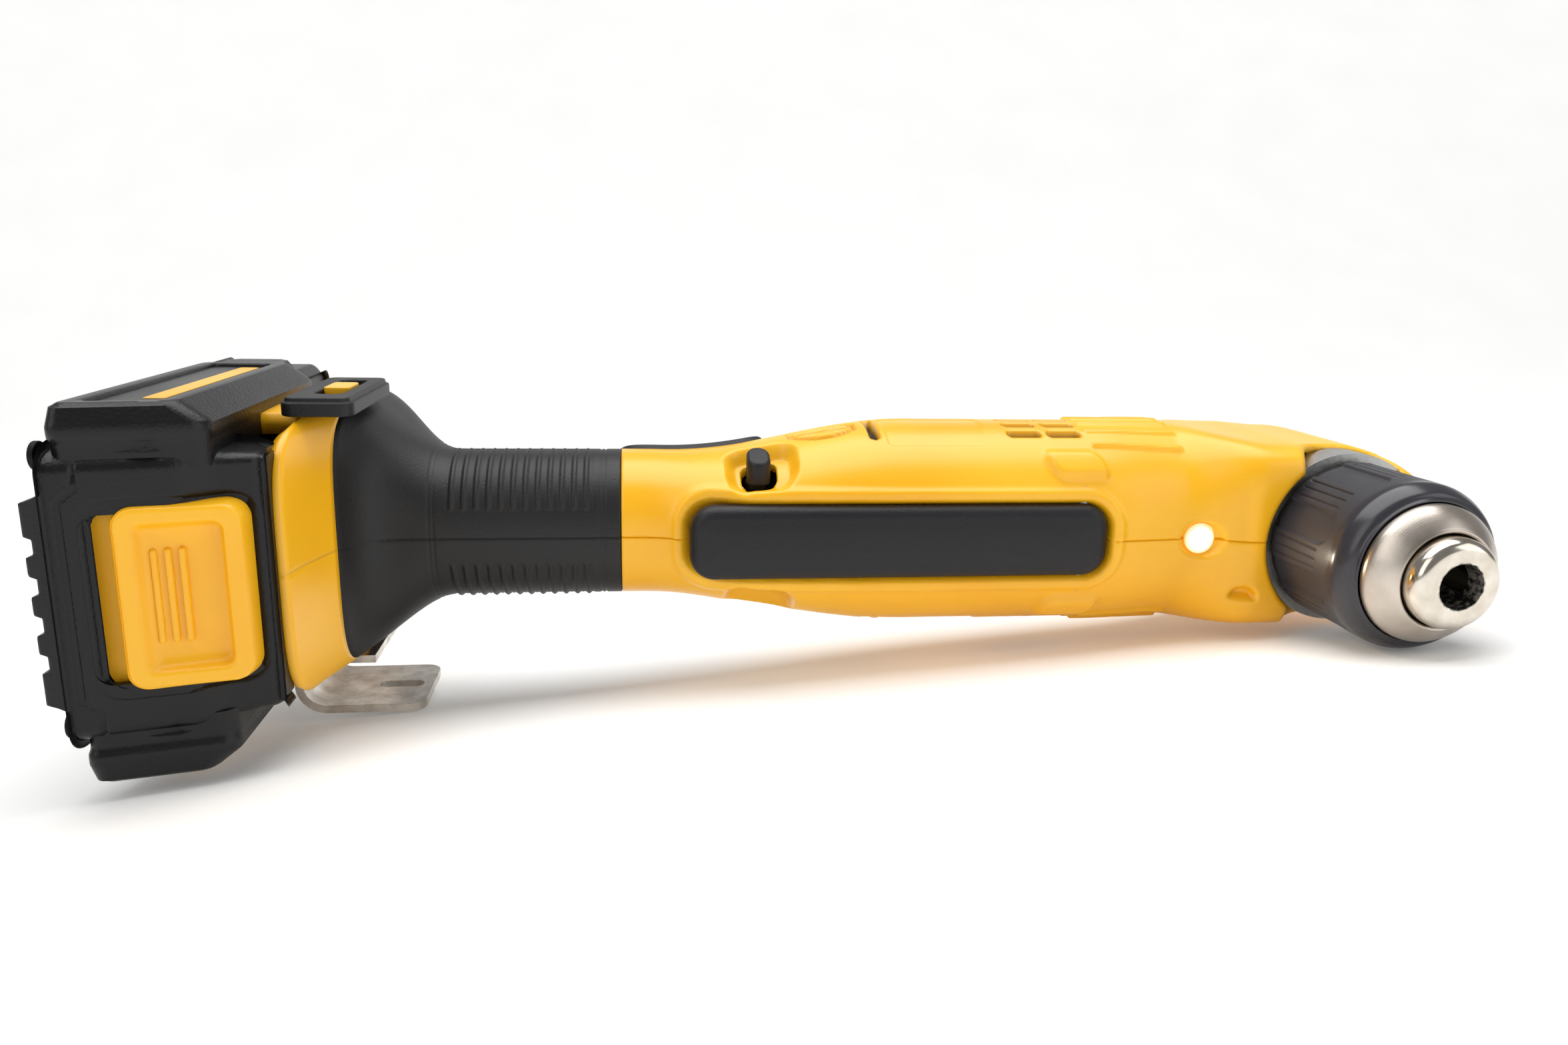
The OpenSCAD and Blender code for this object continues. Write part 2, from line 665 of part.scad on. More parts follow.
module spindle() {
  color(steel) at_axis() {
    rod_y(stud_r, spindle_seat - 15, spindle_seat);
    rod_y(spindle_r + 1, spindle_seat - 0.8, front_bearing_y + front_bearing_len);
    rod_y(spindle_r, front_bearing_y, rear_bearing_y + rear_bearing_len - 0.3);
  }
}
module bevel_gear() {
  points = gear_points(bevel_teeth, 11.4 * bevel_r / 14, bevel_r, bevel_r + 2 * bevel_module * 0.72,
    1.3, 0.74, 0.3);
  color(steel) at_axis() difference() {
    union() {
      translate([0, pinion_r, 0]) rotate([90, 0, 0])
        linear_extrude(height = pinion_r * (1 - bevel_taper), scale = bevel_taper) polygon(points);
      // The disc behind the teeth starts past the tips of the pinion's large end
      rod_y(bevel_r + 1.5, pinion_r + bevel_module * 0.9, pinion_r + 3.5);
      rod_y(11, pinion_r - 0.5, pinion_r + 3);
      rod_y(9, pinion_r, rear_bearing_y - 1);
    }
    rod_y(spindle_r, 0, 40);
  }
}
module bevel_pinion() {
  points = gear_points(pinion_teeth, pinion_r - bevel_module, pinion_r, pinion_r + bevel_module * 0.65,
    1.2, 0.7, 0.3);
  color(steel) at_axis() difference() {
    translate([-bevel_r, 0, 0]) rotate([0, 90, 0])
      linear_extrude(height = bevel_r * (1 - bevel_taper), scale = bevel_taper) polygon(points);
    rod_x(2.5, -30, 0);
  }
}
module carrier() {
  color(steel) at_axis() {
    rod_x(carrier_r, gear_x + gear_len + 4, -bevel_r);
    rod_x(2.5, -20, -bevel_r * bevel_taper);
    rod_x(orbit_r + 3, gear_x + gear_len + 0.6, gear_x + gear_len + 4.5);
    for (a = [0, 120, 240]) rotate([a, 0, 0]) translate([0, 0, orbit_r])
      rod_x(carrier_pin_r, gear_x, gear_x + gear_len + 2);
  }
}
// A planet is turned so that a tooth gap meets the tooth of the fixed ring that it faces
module planet(a) {
  color(steel) at_axis() rotate([a, 0, 0]) translate([gear_x, 0, orbit_r]) rotate([0, 90, 0])
    linear_extrude(height = gear_len) difference() {
      spur2d(planet_teeth);
      circle(r = carrier_pin_r + shaft_gap);
    }
}
module planet_1() { planet(0); }
module planet_2() { planet(120); }
module planet_3() { planet(240); }
module ring_gear() {
  r = planet_module * ring_teeth / 2;
  points = gear_points(ring_teeth, r - 0.75 * planet_module, r, r + 1.2 * planet_module, 1.56, 1.14, 0.72);
  color(steel) at_axis() difference() {
    rod_x(ring_gear_r, ring_back, case_flange_x);
    translate([gear_x - 1.5, 0, 0]) about_x() linear_extrude(height = gear_len + 2) polygon(points);
    rod_x(r + 0.9, gear_x + gear_len + 0.3, case_flange_x + 1);
    rod_x(6, ring_back - 1, gear_x);
  }
}
module sun_gear() {
  color(steel) at_axis() translate([gear_x - 2, 0, 0]) rotate([0, 90, 0]) rotate(180 / sun_teeth)
    linear_extrude(height = gear_len + 1.5) difference() {
      spur2d(sun_teeth);
      circle(r = shaft_r);
    }
}

// Motor
module motor_can() {
  color("silver") at_axis() {
    ring_x(motor_r, motor_r - 1.5, motor_back, motor_front);
    ring_x(motor_r, bearing_r, motor_front - 1.5, motor_front);
  }
}
module motor_magnets() {
  color("#444444") at_axis() for (s = [0, 180]) rotate([s, 0, 0])
    sector_x(motor_r - 4.6, motor_r - 1.5, 62, motor_back + 9, motor_front - 6);
}
module motor_end_cap() {
  color(black) at_axis() difference() {
    union() {
      difference() {
        rod_x(motor_r, motor_back - cap_len, motor_back);
        rod_x(motor_r - 1.5, motor_back - 2, motor_back + 1);
      }
      for (s = [0, 180]) rotate([s, 0, 0])
        box([motor_back - cap_len, 7.5, -3], [motor_back + 4, motor_r - 2.2, 3]);
    }
    rod_x(shaft_r + shaft_gap, motor_back - cap_len + 1.5, motor_back + 10);
  }
}
armature_r = motor_r - 5.2;
module armature() {
  color(copper) at_axis() difference() {
    union() {
      rod_x(armature_r, motor_back + 12, motor_front - 9);
      rod_x(shaft_r, motor_back - cap_len + 2, gear_x + gear_len - 1);
    }
    for (i = [1:armature_slots]) rotate([i * 360 / armature_slots, 0, 0])
      box([motor_back, -0.8, armature_r - 4], [motor_front - 5, 0.8, armature_r + 1]);
  }
}
module commutator() { color(copper) at_axis() ring_x(5.5, shaft_r, motor_back + 3, motor_back + 11.5); }
module cooling_fan() {
  color("#3a3a3c") at_axis() difference() {
    union() {
      rod_x(4, fan_x, fan_x + fan_len);
      rod_x(fan_r, fan_x, fan_x + 1.5);
      for (i = [1:fan_blades]) rotate([i * 360 / fan_blades, 0, 0])
        box([fan_x, -0.6, 3], [fan_x + fan_len, 0.6, fan_r - 1]);
    }
    rod_x(shaft_r, fan_x - 1, fan_x + fan_len + 1);
  }
}
module motor_bearing() {
  color(steel) at_axis() ring_x(bearing_r, shaft_r + shaft_gap, motor_front - 4, motor_front);
}

// Chuck
module chuck_body() {
  color(steel) at_axis() difference() {
    translate([0, nose_y, 0]) about_y() rotate_extrude() polygon([
      [stud_r, 0],
      for (i = [0:6]) [ring_r - nose_round * (1 - sin(i * 15)), nose_round * (1 - cos(i * 15))],
      [ring_r, cone_back - nose_y], [chuck_r, cone_back - nose_y + 0.5], [chuck_r, nut_y - nose_y - 1],
      [hub_r, nut_y - nose_y - 1], [hub_r, sleeve_back - nose_y - 1.5],
      [stud_r, sleeve_back - nose_y - 1.5]]);
    // The bore guides a shank near its mouth, and is a little wider where the jaws come in
    rod_y(bore_r, nose_y - 1, nose_y + bore_guide);
    rod_y(jaw_edge, nose_y + bore_guide, nose_y + bore_depth);
    for (a = [0, 120, 240]) rotate([0, a, 0]) jaw_rod(jaw_r + shaft_gap, -jaw_closing - 0.4, 40);
  }
}
module jaw_rod(r, from, to) {
  translate([jaw_axis_r, jaw_tip_y, 0]) rotate([0, 0, -jaw_tilt]) rod_y(r, from, to);
}
module jaw(a) {
  color(steel) at_axis() rotate([0, a, 0]) intersection() {
    jaw_rod(jaw_r, 0, jaw_len);
    translate([jaw_edge, jaw_tip_y - 10, 0]) rotate([-90, 0, 0]) linear_extrude(height = jaw_len + 20)
      polygon([[0, 0], [12, 12 * tan(60)], [24, 0], [12, -12 * tan(60)]]);
  }
}
module jaw_1() { jaw(0); }
module jaw_2() { jaw(120); }
module jaw_3() { jaw(240); }
module chuck_screw() {
  color(black) at_axis() rod_y(4, spindle_seat - 18, spindle_seat - 15);
}
module jaw_nut() {
  color(steel) at_axis() translate([0, nut_y, 0]) about_y() rotate_extrude() polygon([
    [jaw_line(nut_y) + jaw_r / cos(jaw_tilt) + nut_gap, 0], [nut_r, 0], [nut_r, nut_len],
    [jaw_line(nut_y + nut_len) + jaw_r / cos(jaw_tilt) + nut_gap, nut_len]]);
}
lands = 8;
module chuck_sleeve() {
  bore = chuck_r + slide_gap;
  line_len = sleeve_len - 14;
  color(black) at_axis() difference() {
    translate([0, sleeve_y, 0]) about_y() rotate_extrude() polygon([
      [bore, 0], [cone_r + 0.6, 0], [sleeve_r - 0.5, 3.2], [sleeve_r, 4.6],
      [sleeve_r, sleeve_len - 1], [sleeve_r - 1, sleeve_len], [nut_r - 1.2, sleeve_len],
      [nut_r, sleeve_len - 1.8], [nut_r, nut_y - sleeve_y], [bore, nut_y - sleeve_y]]);
    // Each land carries three fine lines, and a shallow panel lies between two lands
    for (i = [0:lands - 1]) rotate([0, i * 360 / lands, 0]) {
      for (j = [-1:1]) rotate([0, j * 6, 0]) translate([sleeve_r + 0.1, sleeve_y + 12, 0])
        rod_y(0.5, 0, line_len);
      rotate([0, 180 / lands, 0]) translate([sleeve_r + 11.5, sleeve_y + 9, 0])
        rod_y(12.2, 0, line_len + 3);
    }
  }
}
module nose_cone() {
  bore = ring_r + slide_gap;
  length = sleeve_y - cone_y;
  color("silver") at_axis() translate([0, cone_y, 0]) about_y() rotate_extrude() polygon([
    [bore, 0.4], [ring_r + 0.8, 0], [ring_r + 1.5, 0.2], [(ring_r + cone_r) / 2 + 1, 2.4],
    [cone_r - 0.8, 4.9], [cone_r, length - 0.5], [cone_r, length],
    [bore + 2, length - 1.2], [bore, length - 3]]);
}

// Foot fittings
module terminal_block() {
  color(black) at_axis() {
    box([foot_x + 0.5, -8, -23.2], [foot_x + 7, 18, 23.2]);
    for (z = blade_z) box([foot_x - 7, 5, z - 0.5], [foot_x + 1, 17, z + 0.5]);
  }
}
module motor_leads() {
  color("firebrick") at_axis() for (z = [-3.5, 3.5]) translate([0, 5, z]) rod_x(1.2, foot_x + 7, switch_x);
}
holder_x = foot_x + 4.5;
holder_y = -14;
holder_len = 40;
holder_w = 15;
holder_h = 4;
clip_w = 5.6;
module bit_holder() {
  color(black) at_axis() translate([holder_x, holder_y, foot_hw]) difference() {
    union() {
      linear_extrude(height = holder_h - 1) rounded2d(holder_w, holder_len, 3);
      linear_extrude(height = holder_h) rounded2d(holder_w - 1.6, holder_len - 1.6, 2.2);
    }
    translate([0.5, 1, 1]) linear_extrude(height = holder_h) rounded2d(clip_w + 0.4, 26, 2);
  }
}
module bit_clip() {
  color(yellow) at_axis() translate([holder_x + 0.5, holder_y + 1, foot_hw + 1])
    linear_extrude(height = holder_h - 0.6) rounded2d(clip_w, 10, 1);
}
hook_t = 2;
hook_drop = 13;
hook_y = 2.5;
hook_w = 27;
hook_len = 23;
hook_tab = 12;
hook_r = (hook_drop + hook_t) / 2;
hook_x = foot_x - skirt_h + 1 + hook_r;
hook_hole = [hook_x + 5, hook_y, -foot_hw - hook_t];
module belt_hook() {
  color(steel) at_axis() difference() {
    union() {
      translate([hook_x, hook_y + hook_w / 2, -foot_hw - hook_r]) rotate([90, 0, 0]) {
        rotate([0, 0, 90]) rotate_extrude(angle = 180) translate([hook_r - hook_t, 0])
          square([hook_t, hook_w]);
        translate([0, hook_r - hook_t, 0]) cube([hook_tab, hook_t, hook_w]);
      }
      // The plate that hangs on a belt, with round corners at its free end
      translate([hook_x, hook_y, -foot_hw - 2 * hook_r]) linear_extrude(height = hook_t) {
        translate([hook_len / 2, 0]) rounded2d(hook_len, hook_w, 4);
        translate([0, -hook_w / 2]) square([hook_len / 2, hook_w]);
      }
    }
    translate([hook_x + hook_len - 8, hook_y, -foot_hw - 2 * hook_r - 1])
      linear_extrude(height = hook_t + 2) slot2d(11, 4);
    translate(hook_hole - [0, 0, 1]) cylinder(r = 2.2, h = hook_t + 2);
  }
}
module hook_screw() { color(steel) at_axis() translate(hook_hole - [0, 0, 2]) cylinder(r = 3.6, h = 2); }

// Battery pack
module pack_case() {
  color(black) at_axis() difference() {
    union() {
      pack_loft([[pack_x + cover_h, 0], [deck_x - 3, 0], [deck_x - 1, 0.8], [deck_x, 2.4]]);
      // The front wall rises to the foot
      intersection() {
        pack_loft([[deck_x - 2, 3.5], [tower_x - 1, 4], [tower_x, 5]]);
        box([deck_x - 2, -100, -100], [tower_x + 1, tower_front, 100]);
      }
      box([deck_x - 2, tower_front - 2, -tower_hw], [tower_x, tower_back, tower_hw]);
      for (s = [0, 180]) translate([(pack_x + deck_x) / 2 + 2.2, -16, 0]) rotate([s, 0, 0])
        translate([0, 0, pack_hw - 0.5]) loft([
          for (t = [0, 1])
            [for (p = panel_ring) [p[0] * (1 - 0.18 * t), p[1] * (1 - 0.07 * t), t * (panel_t + 0.5)]]
        ]);
    }
    // Room for the cells, the rail grooves, the blades' slots and the release button
    pack_loft([[pack_x, case_wall], [deck_x - 2.4, case_wall]]);
    for (s = [0, 1]) mirror([0, 0, s]) box([lip_x - rail_gap, tower_front, channel_hw - lip_w - rail_gap],
      [lip_x + lip_h + rail_gap, tower_back + 1, tower_hw + 1]);
    for (z = blade_z) box([tower_x - 8, 4, z - 1], [tower_x + 1, tower_back + 1, z + 1]);
    box([deck_x - 3, tower_front + 4, -board_hw], [tower_x - 3, 1, board_hw]);
    intersection() {
      linear_extrude(height = 2 * (release_hw + slide_gap), center = true) polygon([
        [release_x0, pack_y0(release_x) - 9], [release_x1, pack_y0(release_x) - 9],
        [release_x1, release_back + slide_gap], [deck_x - 5.5, release_back + slide_gap],
        [deck_x - 6.5, release_low + slide_gap], [release_x0, release_low + slide_gap]]);
      release_outline(release_x0, release_x1, slide_gap);
    }
  }
}
// The release button's outline seen from the front, round at its corners, drawn out by d at its sides
module release_outline(x0, x1, d) {
  translate([(x0 + x1) / 2, release_low + 8, 0]) rotate([90, 0, 0]) linear_extrude(height = 40)
    rounded2d(x1 - x0, 2 * (release_hw + d), release_round + d);
}
module pack_cover() {
  color(black) at_axis() difference() {
    union() {
      pack_loft([[pack_x, 3], [pack_x + 1, 1.2], [pack_x + 3, 0.2], [pack_x + cover_h, 0]]);
      // Feet that run along the underside
      for (i = [-2:2]) translate([pack_x - 2, (pack_back - pack_front) / 2, i * 8.6]) about_x()
        linear_extrude(height = 3) rounded2d(3.8, pack_front + pack_back - 16, 1.6);
    }
    difference() {
      pack_loft([[pack_x + case_wall, case_wall + 0.1], [pack_x + cover_h + 1, case_wall]]);
      for (y = pack_screw_y, z = pack_screw_z) translate([pack_x, y, z])
        about_x() cylinder(r = 4, h = cover_h);
    }
    for (y = pack_screw_y, z = pack_screw_z) translate([pack_x - 3, y, z]) about_x() {
      cylinder(r = 1.5, h = 20);
      cylinder(r = 3, h = 4.4);
    }
  }
}
module pack_cells() {
  color("#3b6ea5") at_axis() for (i = [0:4])
    translate([cell_x, last_cell_y - i * cell_pitch, -cell_len / 2]) cylinder(r = cell_r, h = cell_len);
}
module contact_board() {
  color("darkgreen") at_axis() box([deck_x + 2, tower_front + 6, -board_hw], [deck_x + 3.4, 0, board_hw]);
}
module release_button() {
  x0 = release_x0 + release_travel + 0.4;
  x1 = release_x1 - 0.4;
  scoop = [deck_x - 2.6, pack_y0(deck_x) - 7.4];
  scoop_r = 9;
  color(yellow) at_axis() intersection() {
    union() {
      difference() {
        linear_extrude(height = 2 * release_hw, center = true) polygon([
          [x0, pack_y0(x0) + 0.8], [deck_x - 4, pack_y0(deck_x - 4) + 0.2],
          [deck_x + 1, pack_y0(deck_x + 1) + 1.4], [x1 - 1, pack_y0(x1) + 2.6], [x1, pack_y0(x1) + 3.4],
          [x1, release_back], [deck_x - 0.9, release_back],
          [deck_x - 1.9, release_low], [x0, release_low]]);
        translate(scoop) cylinder(r = scoop_r, h = 23, center = true);
      }
      // Three ribs for the thumb lie across the scoop
      for (a = [72, 90, 108]) translate(scoop + scoop_r * [cos(a), sin(a)])
        cylinder(r = 0.6, h = 22, center = true);
    }
    release_outline(x0, x1, 0);
  }
}
module latch_spring() {
  color(steel) at_axis() translate([release_x0 + 0.5, release_low - 2.4, 0]) rotate([0, 0, -90])
    coil(1.6, 0.35, release_travel - 0.6, 3);
}
module pack_screws() {
  color(steel) at_axis() for (y = pack_screw_y, z = pack_screw_z)
    translate([pack_x + 0.2, y, z]) about_x() {
      cylinder(r = screw_head_r, h = 1.2);
      cylinder(r = screw_r, h = cover_h - 0.4);
    }
}

housing_upper();
housing_lower();
grip_upper();
grip_lower();
housing_screws();
paddle_trigger();
trigger_pin();
trigger_spring();
switch_body();
switch_plunger();
direction_button();
speed_selector();
shift_ring();
light_lens();
light_board();
gear_case();
dust_ring();
front_bearing();
rear_bearing();
carrier_bearing();
spindle();
bevel_gear();
chuck_body();
chuck_screw();
chuck_sleeve();
nose_cone();
jaw_nut();
jaw_1();
jaw_2();
jaw_3();
carrier();
bevel_pinion();
planet_1();
planet_2();
planet_3();
ring_gear();
sun_gear();
motor_can();
motor_magnets();
motor_end_cap();
armature();
commutator();
cooling_fan();
motor_bearing();
terminal_block();
motor_leads();
bit_holder();
bit_clip();
belt_hook();
hook_screw();
pack_case();
pack_cover();
pack_cells();
contact_board();
release_button();
latch_spring();
pack_screws();
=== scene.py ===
# Looks of a cordless right angle drill that lies on its side on a pale studio floor.
# Sizes are in millimetres from the motor axis, and go into metres and the shared frame in to_frame.
import math

import bmesh
import bpy
import numpy as np
from mathutils import Matrix, Vector


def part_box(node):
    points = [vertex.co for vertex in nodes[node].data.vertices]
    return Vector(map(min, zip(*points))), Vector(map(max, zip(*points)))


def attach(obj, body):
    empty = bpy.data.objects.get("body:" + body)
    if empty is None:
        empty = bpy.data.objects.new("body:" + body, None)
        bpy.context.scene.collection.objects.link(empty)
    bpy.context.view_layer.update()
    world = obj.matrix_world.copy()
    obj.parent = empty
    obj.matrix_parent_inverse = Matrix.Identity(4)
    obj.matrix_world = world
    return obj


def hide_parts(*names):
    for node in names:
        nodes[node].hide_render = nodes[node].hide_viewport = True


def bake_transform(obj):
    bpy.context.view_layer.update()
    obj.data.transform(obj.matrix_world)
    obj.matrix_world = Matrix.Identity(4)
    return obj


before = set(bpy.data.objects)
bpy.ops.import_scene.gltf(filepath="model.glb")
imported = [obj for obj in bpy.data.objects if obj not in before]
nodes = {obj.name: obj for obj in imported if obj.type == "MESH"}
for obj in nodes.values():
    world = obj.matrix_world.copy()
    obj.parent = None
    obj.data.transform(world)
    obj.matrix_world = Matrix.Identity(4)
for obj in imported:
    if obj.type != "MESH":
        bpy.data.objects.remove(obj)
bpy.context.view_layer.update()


# Camera
# A hand-held camera with a short lens, a little above the tool and near its chuck.
# Its place and turn come from a camera fitted to the tool's known sizes.
eye = Vector((-0.17831, -0.20972, 0.06771))
eye_right = Vector((0.99127724, -0.12938477, 0.0250803))
eye_up = Vector((0.00677695, 0.24008985, 0.97072702))
eye_back = Vector((-0.13161882, -0.96208962, 0.23887243))
lens = bpy.data.cameras.new("camera")
lens.sensor_fit = "HORIZONTAL"
lens.sensor_width = 36.0
lens.lens = 36.0 * 1659.6 / 2352
lens.clip_start = 0.01
camera = bpy.data.objects.new("camera", lens)
turn = Matrix((eye_right, eye_up, eye_back)).transposed().to_4x4()
camera.matrix_world = Matrix.Translation(eye) @ turn
bpy.context.scene.collection.objects.link(camera)
bpy.context.scene.camera = camera


# Floor
# A white paper sweep that the tool rests on with its chuck, the side of its head and its belt hook.
# The paper is matt and nearly white, with a faint mottle, and curves up far behind the tool.
def linear(colour):
    """Turns an sRGB hex colour such as "#f7b500" into linear red, green, blue and alpha."""
    c = np.array([int(colour[i:i + 2], 16) for i in (1, 3, 5)]) / 255.0
    c = np.where(c <= 0.04045, c / 12.92, ((c + 0.055) / 1.055) ** 2.4)
    return (float(c[0]), float(c[1]), float(c[2]), 1.0)


def feed(tree, node, links):
    """Gives each named input of a shader node a value, or links it to a socket."""
    for key, value in links.items():
        if isinstance(value, bpy.types.NodeSocket):
            tree.links.new(value, node.inputs[key])
        else:
            node.inputs[key].default_value = value


def add(tree, kind, settings, links):
    """Adds one shader node, with settings for its own properties and links for its inputs."""
    made = tree.nodes.new("ShaderNode" + kind)
    for key, value in settings.items():
        setattr(made, key, value)
    feed(tree, made, links)
    return made


def new_material(name):
    """Gives an empty node material, its tree, its shader and its Object coordinates."""
    made = bpy.data.materials.new(name)
    made.use_nodes = True
    tree = made.node_tree
    shader = tree.nodes["Principled BSDF"]
    return made, tree, shader, add(tree, "TexCoord", {}, {}).outputs["Object"]


def put_mesh(name, points, faces):
    """Makes a smooth object at the origin from rows of points in metres and a list or array of faces."""
    mesh = bpy.data.meshes.new(name)
    mesh.from_pydata(points.reshape(-1, 3).tolist(), [], faces if isinstance(faces, list) else faces.tolist())
    mesh.update()
    mesh.polygons.foreach_set("use_smooth", np.full(len(mesh.polygons), True))
    made = bpy.data.objects.new(name, mesh)
    bpy.context.scene.collection.objects.link(made)
    return made


def quads(rows, columns, closed=False):
    """Lists the faces of a grid of points, row by row; closed joins the last column to the first."""
    i = np.arange(rows - 1)[:, None] * columns
    j = np.arange(columns if closed else columns - 1)[None, :]
    k = (j + 1) % columns
    return np.stack([i + j, i + k, i + columns + k, i + columns + j], -1).reshape(-1, 4)


paper, tree, shader, where = new_material("white_paper")
mottle = add(tree, "TexNoise", {}, {"Vector": where, "Scale": 6.0, "Detail": 3.0})
shade = add(tree, "ValToRGB", {}, {"Fac": mottle.outputs["Fac"]})
shade.color_ramp.elements[0].color = linear("#f1f1f0")
shade.color_ramp.elements[1].color = linear("#f8f8f7")
# Painted light: the sheet glows more and more away from the tool, in place of the light of a tent's walls,
# and least near the tool so that its shadow shows
far = add(tree, "VectorMath", {"operation": "DISTANCE"}, {0: where, 1: (-0.14, 0.05, -0.03)})
glow = add(tree, "MapRange", {"interpolation_type": "SMOOTHSTEP"},
           {"Value": far.outputs["Value"], "From Min": 0.1, "From Max": 1.9, "To Min": 0.1, "To Max": 0.72})
feed(tree, shader, {"Base Color": shade.outputs["Color"], "Roughness": 0.6,
                    "Emission Color": shade.outputs["Color"], "Emission Strength": glow.outputs["Result"]})

# The three points that the tool rests on: the hook, the side of the head and the chuck
rest = np.array([[-231.0, 56.0, -46.0], [0.0, 49.1, -25.8], [2.6, 16.1, -19.8]]) / 1000
across = np.cross(rest[1] - rest[0], rest[2] - rest[0])
floor_up = across / np.linalg.norm(across) * np.sign(across[2])
floor_along = np.cross([0.0, 1.0, 0.0], floor_up)
floor_along /= np.linalg.norm(floor_along)
floor_away = np.cross(floor_up, floor_along)
s, t = np.meshgrid(np.linspace(-8, 8, 41), np.linspace(-6, 3.4, 95), indexing="ij")
rise = 0.5 * np.clip(t - 1.4, 0, None) ** 2
clear = 0.0002
sweep = rest[0] - clear * floor_up + s[..., None] * floor_along + t[..., None] * floor_away
sweep = sweep + rise[..., None] * floor_up
floor = put_mesh("paper_sweep", sweep, quads(*s.shape)[:, ::-1])
floor.data.materials.append(paper)


# Light
# Big soft boxes above and to both sides, as in a light tent, and a bright white surround.
def soft_box(name, place, aim, size, power, colour):
    """Adds a square area light of a given size at a place, turned to its aim."""
    data = bpy.data.lights.new(name, "AREA")
    data.shape = "RECTANGLE"
    data.size, data.size_y = size
    data.energy = power
    data.color = colour
    made = bpy.data.objects.new(name, data)
    made.location = place
    made.rotation_euler = (Vector(aim) - Vector(place)).to_track_quat("-Z", "Y").to_euler()
    bpy.context.scene.collection.objects.link(made)


middle = (-0.13, 0.05, 0.0)
soft_box("top_box", (-0.15, 0.22, 0.9), middle, (1.2, 0.9), 12.0, (1.0, 1.0, 1.0))
soft_box("left_box", (-1.0, -0.45, 0.6), middle, (0.7, 0.9), 3.2, (1.0, 0.99, 0.97))
soft_box("right_box", (0.75, -0.55, 0.55), middle, (0.7, 0.8), 2.8, (0.98, 0.99, 1.0))
world = bpy.data.worlds.new("tent")
world.use_nodes = True
world.node_tree.nodes["Background"].inputs["Color"].default_value = (1.0, 1.0, 1.0, 1.0)
world.node_tree.nodes["Background"].inputs["Strength"].default_value = 0.24
bpy.context.scene.world = world
bpy.context.scene.view_settings.view_transform = "Standard"


# Housing halves
# Two clamshells of yellow glass-filled nylon, injection moulded with a fine satin grain and
# closed with screws on the plane through the motor axis and the spindle.
axis_y = 67.0


def to_frame(x, y, z):
    """Takes millimetres, with y measured from the motor axis, into metres in the shared frame."""
    return np.stack(np.broadcast_arrays(x, y + axis_y, z), -1) / 1000.0


def ease(t):
    """Goes smoothly from 0 to 1 as t goes from 0 to 1: three t squared less two t cubed."""
    c = np.clip(t, 0.0, 1.0)
    return c * c * (3.0 - 2.0 * c)


def skin(x, a, inset=0.0):
    """One point of the tool's outer skin: a superellipse round the motor axis at x, at polar angle a.

    Its half width, front, back and squareness run along x: round handle, flared foot, fat body, boxy head.
    """
    flare = ease((-222.0 - x) / 26.0)
    bulge = ease((x + 172.0) / 62.0)
    head = 2.4 * ease((x + 44.0) / 28.0) + ease((x + 16.0) / 16.0)
    round_end = 22.6 * np.sqrt(np.maximum(3e-5, 1.0 - x * np.abs(x) / 26.0 ** 2))
    half = np.where(x > 0.0, round_end, 18.0 + 13.0 * flare + 8.0 * bulge - head)
    front = (-18.0 - 30.0 * np.clip((-228.0 - x) / 22.0, 0.0, 1.0) ** 4 - 8.0 * ease((x + 178.0) / 28.0)
             + 1.5 * ease((x + 62.0) / 20.0) - 4.0 * ease((x + 40.0) / 16.0))
    back = 18.0 + 21.0 * ease((-220.0 - x) / 26.0) + 8.0 * bulge + 2.0 * ease((x + 40.0) / 25.0)
    power = 2.15 + 2.6 * flare + 5.0 * ease((x + 42.0) / 26.0)
    high = (back - front) / 2.0 - inset
    wide = np.maximum(half - inset, 0.05)
    r = (np.abs(np.cos(a) / high) ** power + np.abs(np.sin(a) / wide) ** power) ** (-1.0 / power)
    return (front + back) / 2.0 + r * np.cos(a), r * np.sin(a)


def outward(x, y, z):
    """Unit normals of a grid of points, from the cross product of its two directions."""
    p = np.stack([x, y, z], -1)
    n = np.cross(np.gradient(p, axis=0), np.gradient(p, axis=1))
    return n / np.maximum(np.linalg.norm(n, axis=-1, keepdims=True), 1e-9)


def within(distance, soft):
    """1 inside an outline and 0 outside it, over a soft edge, from the distance to that outline."""
    return ease(0.5 - distance / soft)


def to_box(u, v, a, b, r):
    """Distance to a rectangle of half sizes a and b with corners of radius r, negative inside."""
    qu, qv = np.abs(u) - a + r, np.abs(v) - b + r
    return np.hypot(np.maximum(qu, 0), np.maximum(qv, 0)) + np.minimum(np.maximum(qu, qv), 0) - r


def spaced(stops):
    """Lines between pairs of place and step, each stretch divided evenly at its own step."""
    parts = [np.linspace(p, q, max(2, int(round((q - p) / step)) + 1))[:-1]
             for (p, step), (q, _) in zip(stops, stops[1:])]
    return np.concatenate(parts + [[stops[-1][0]]])


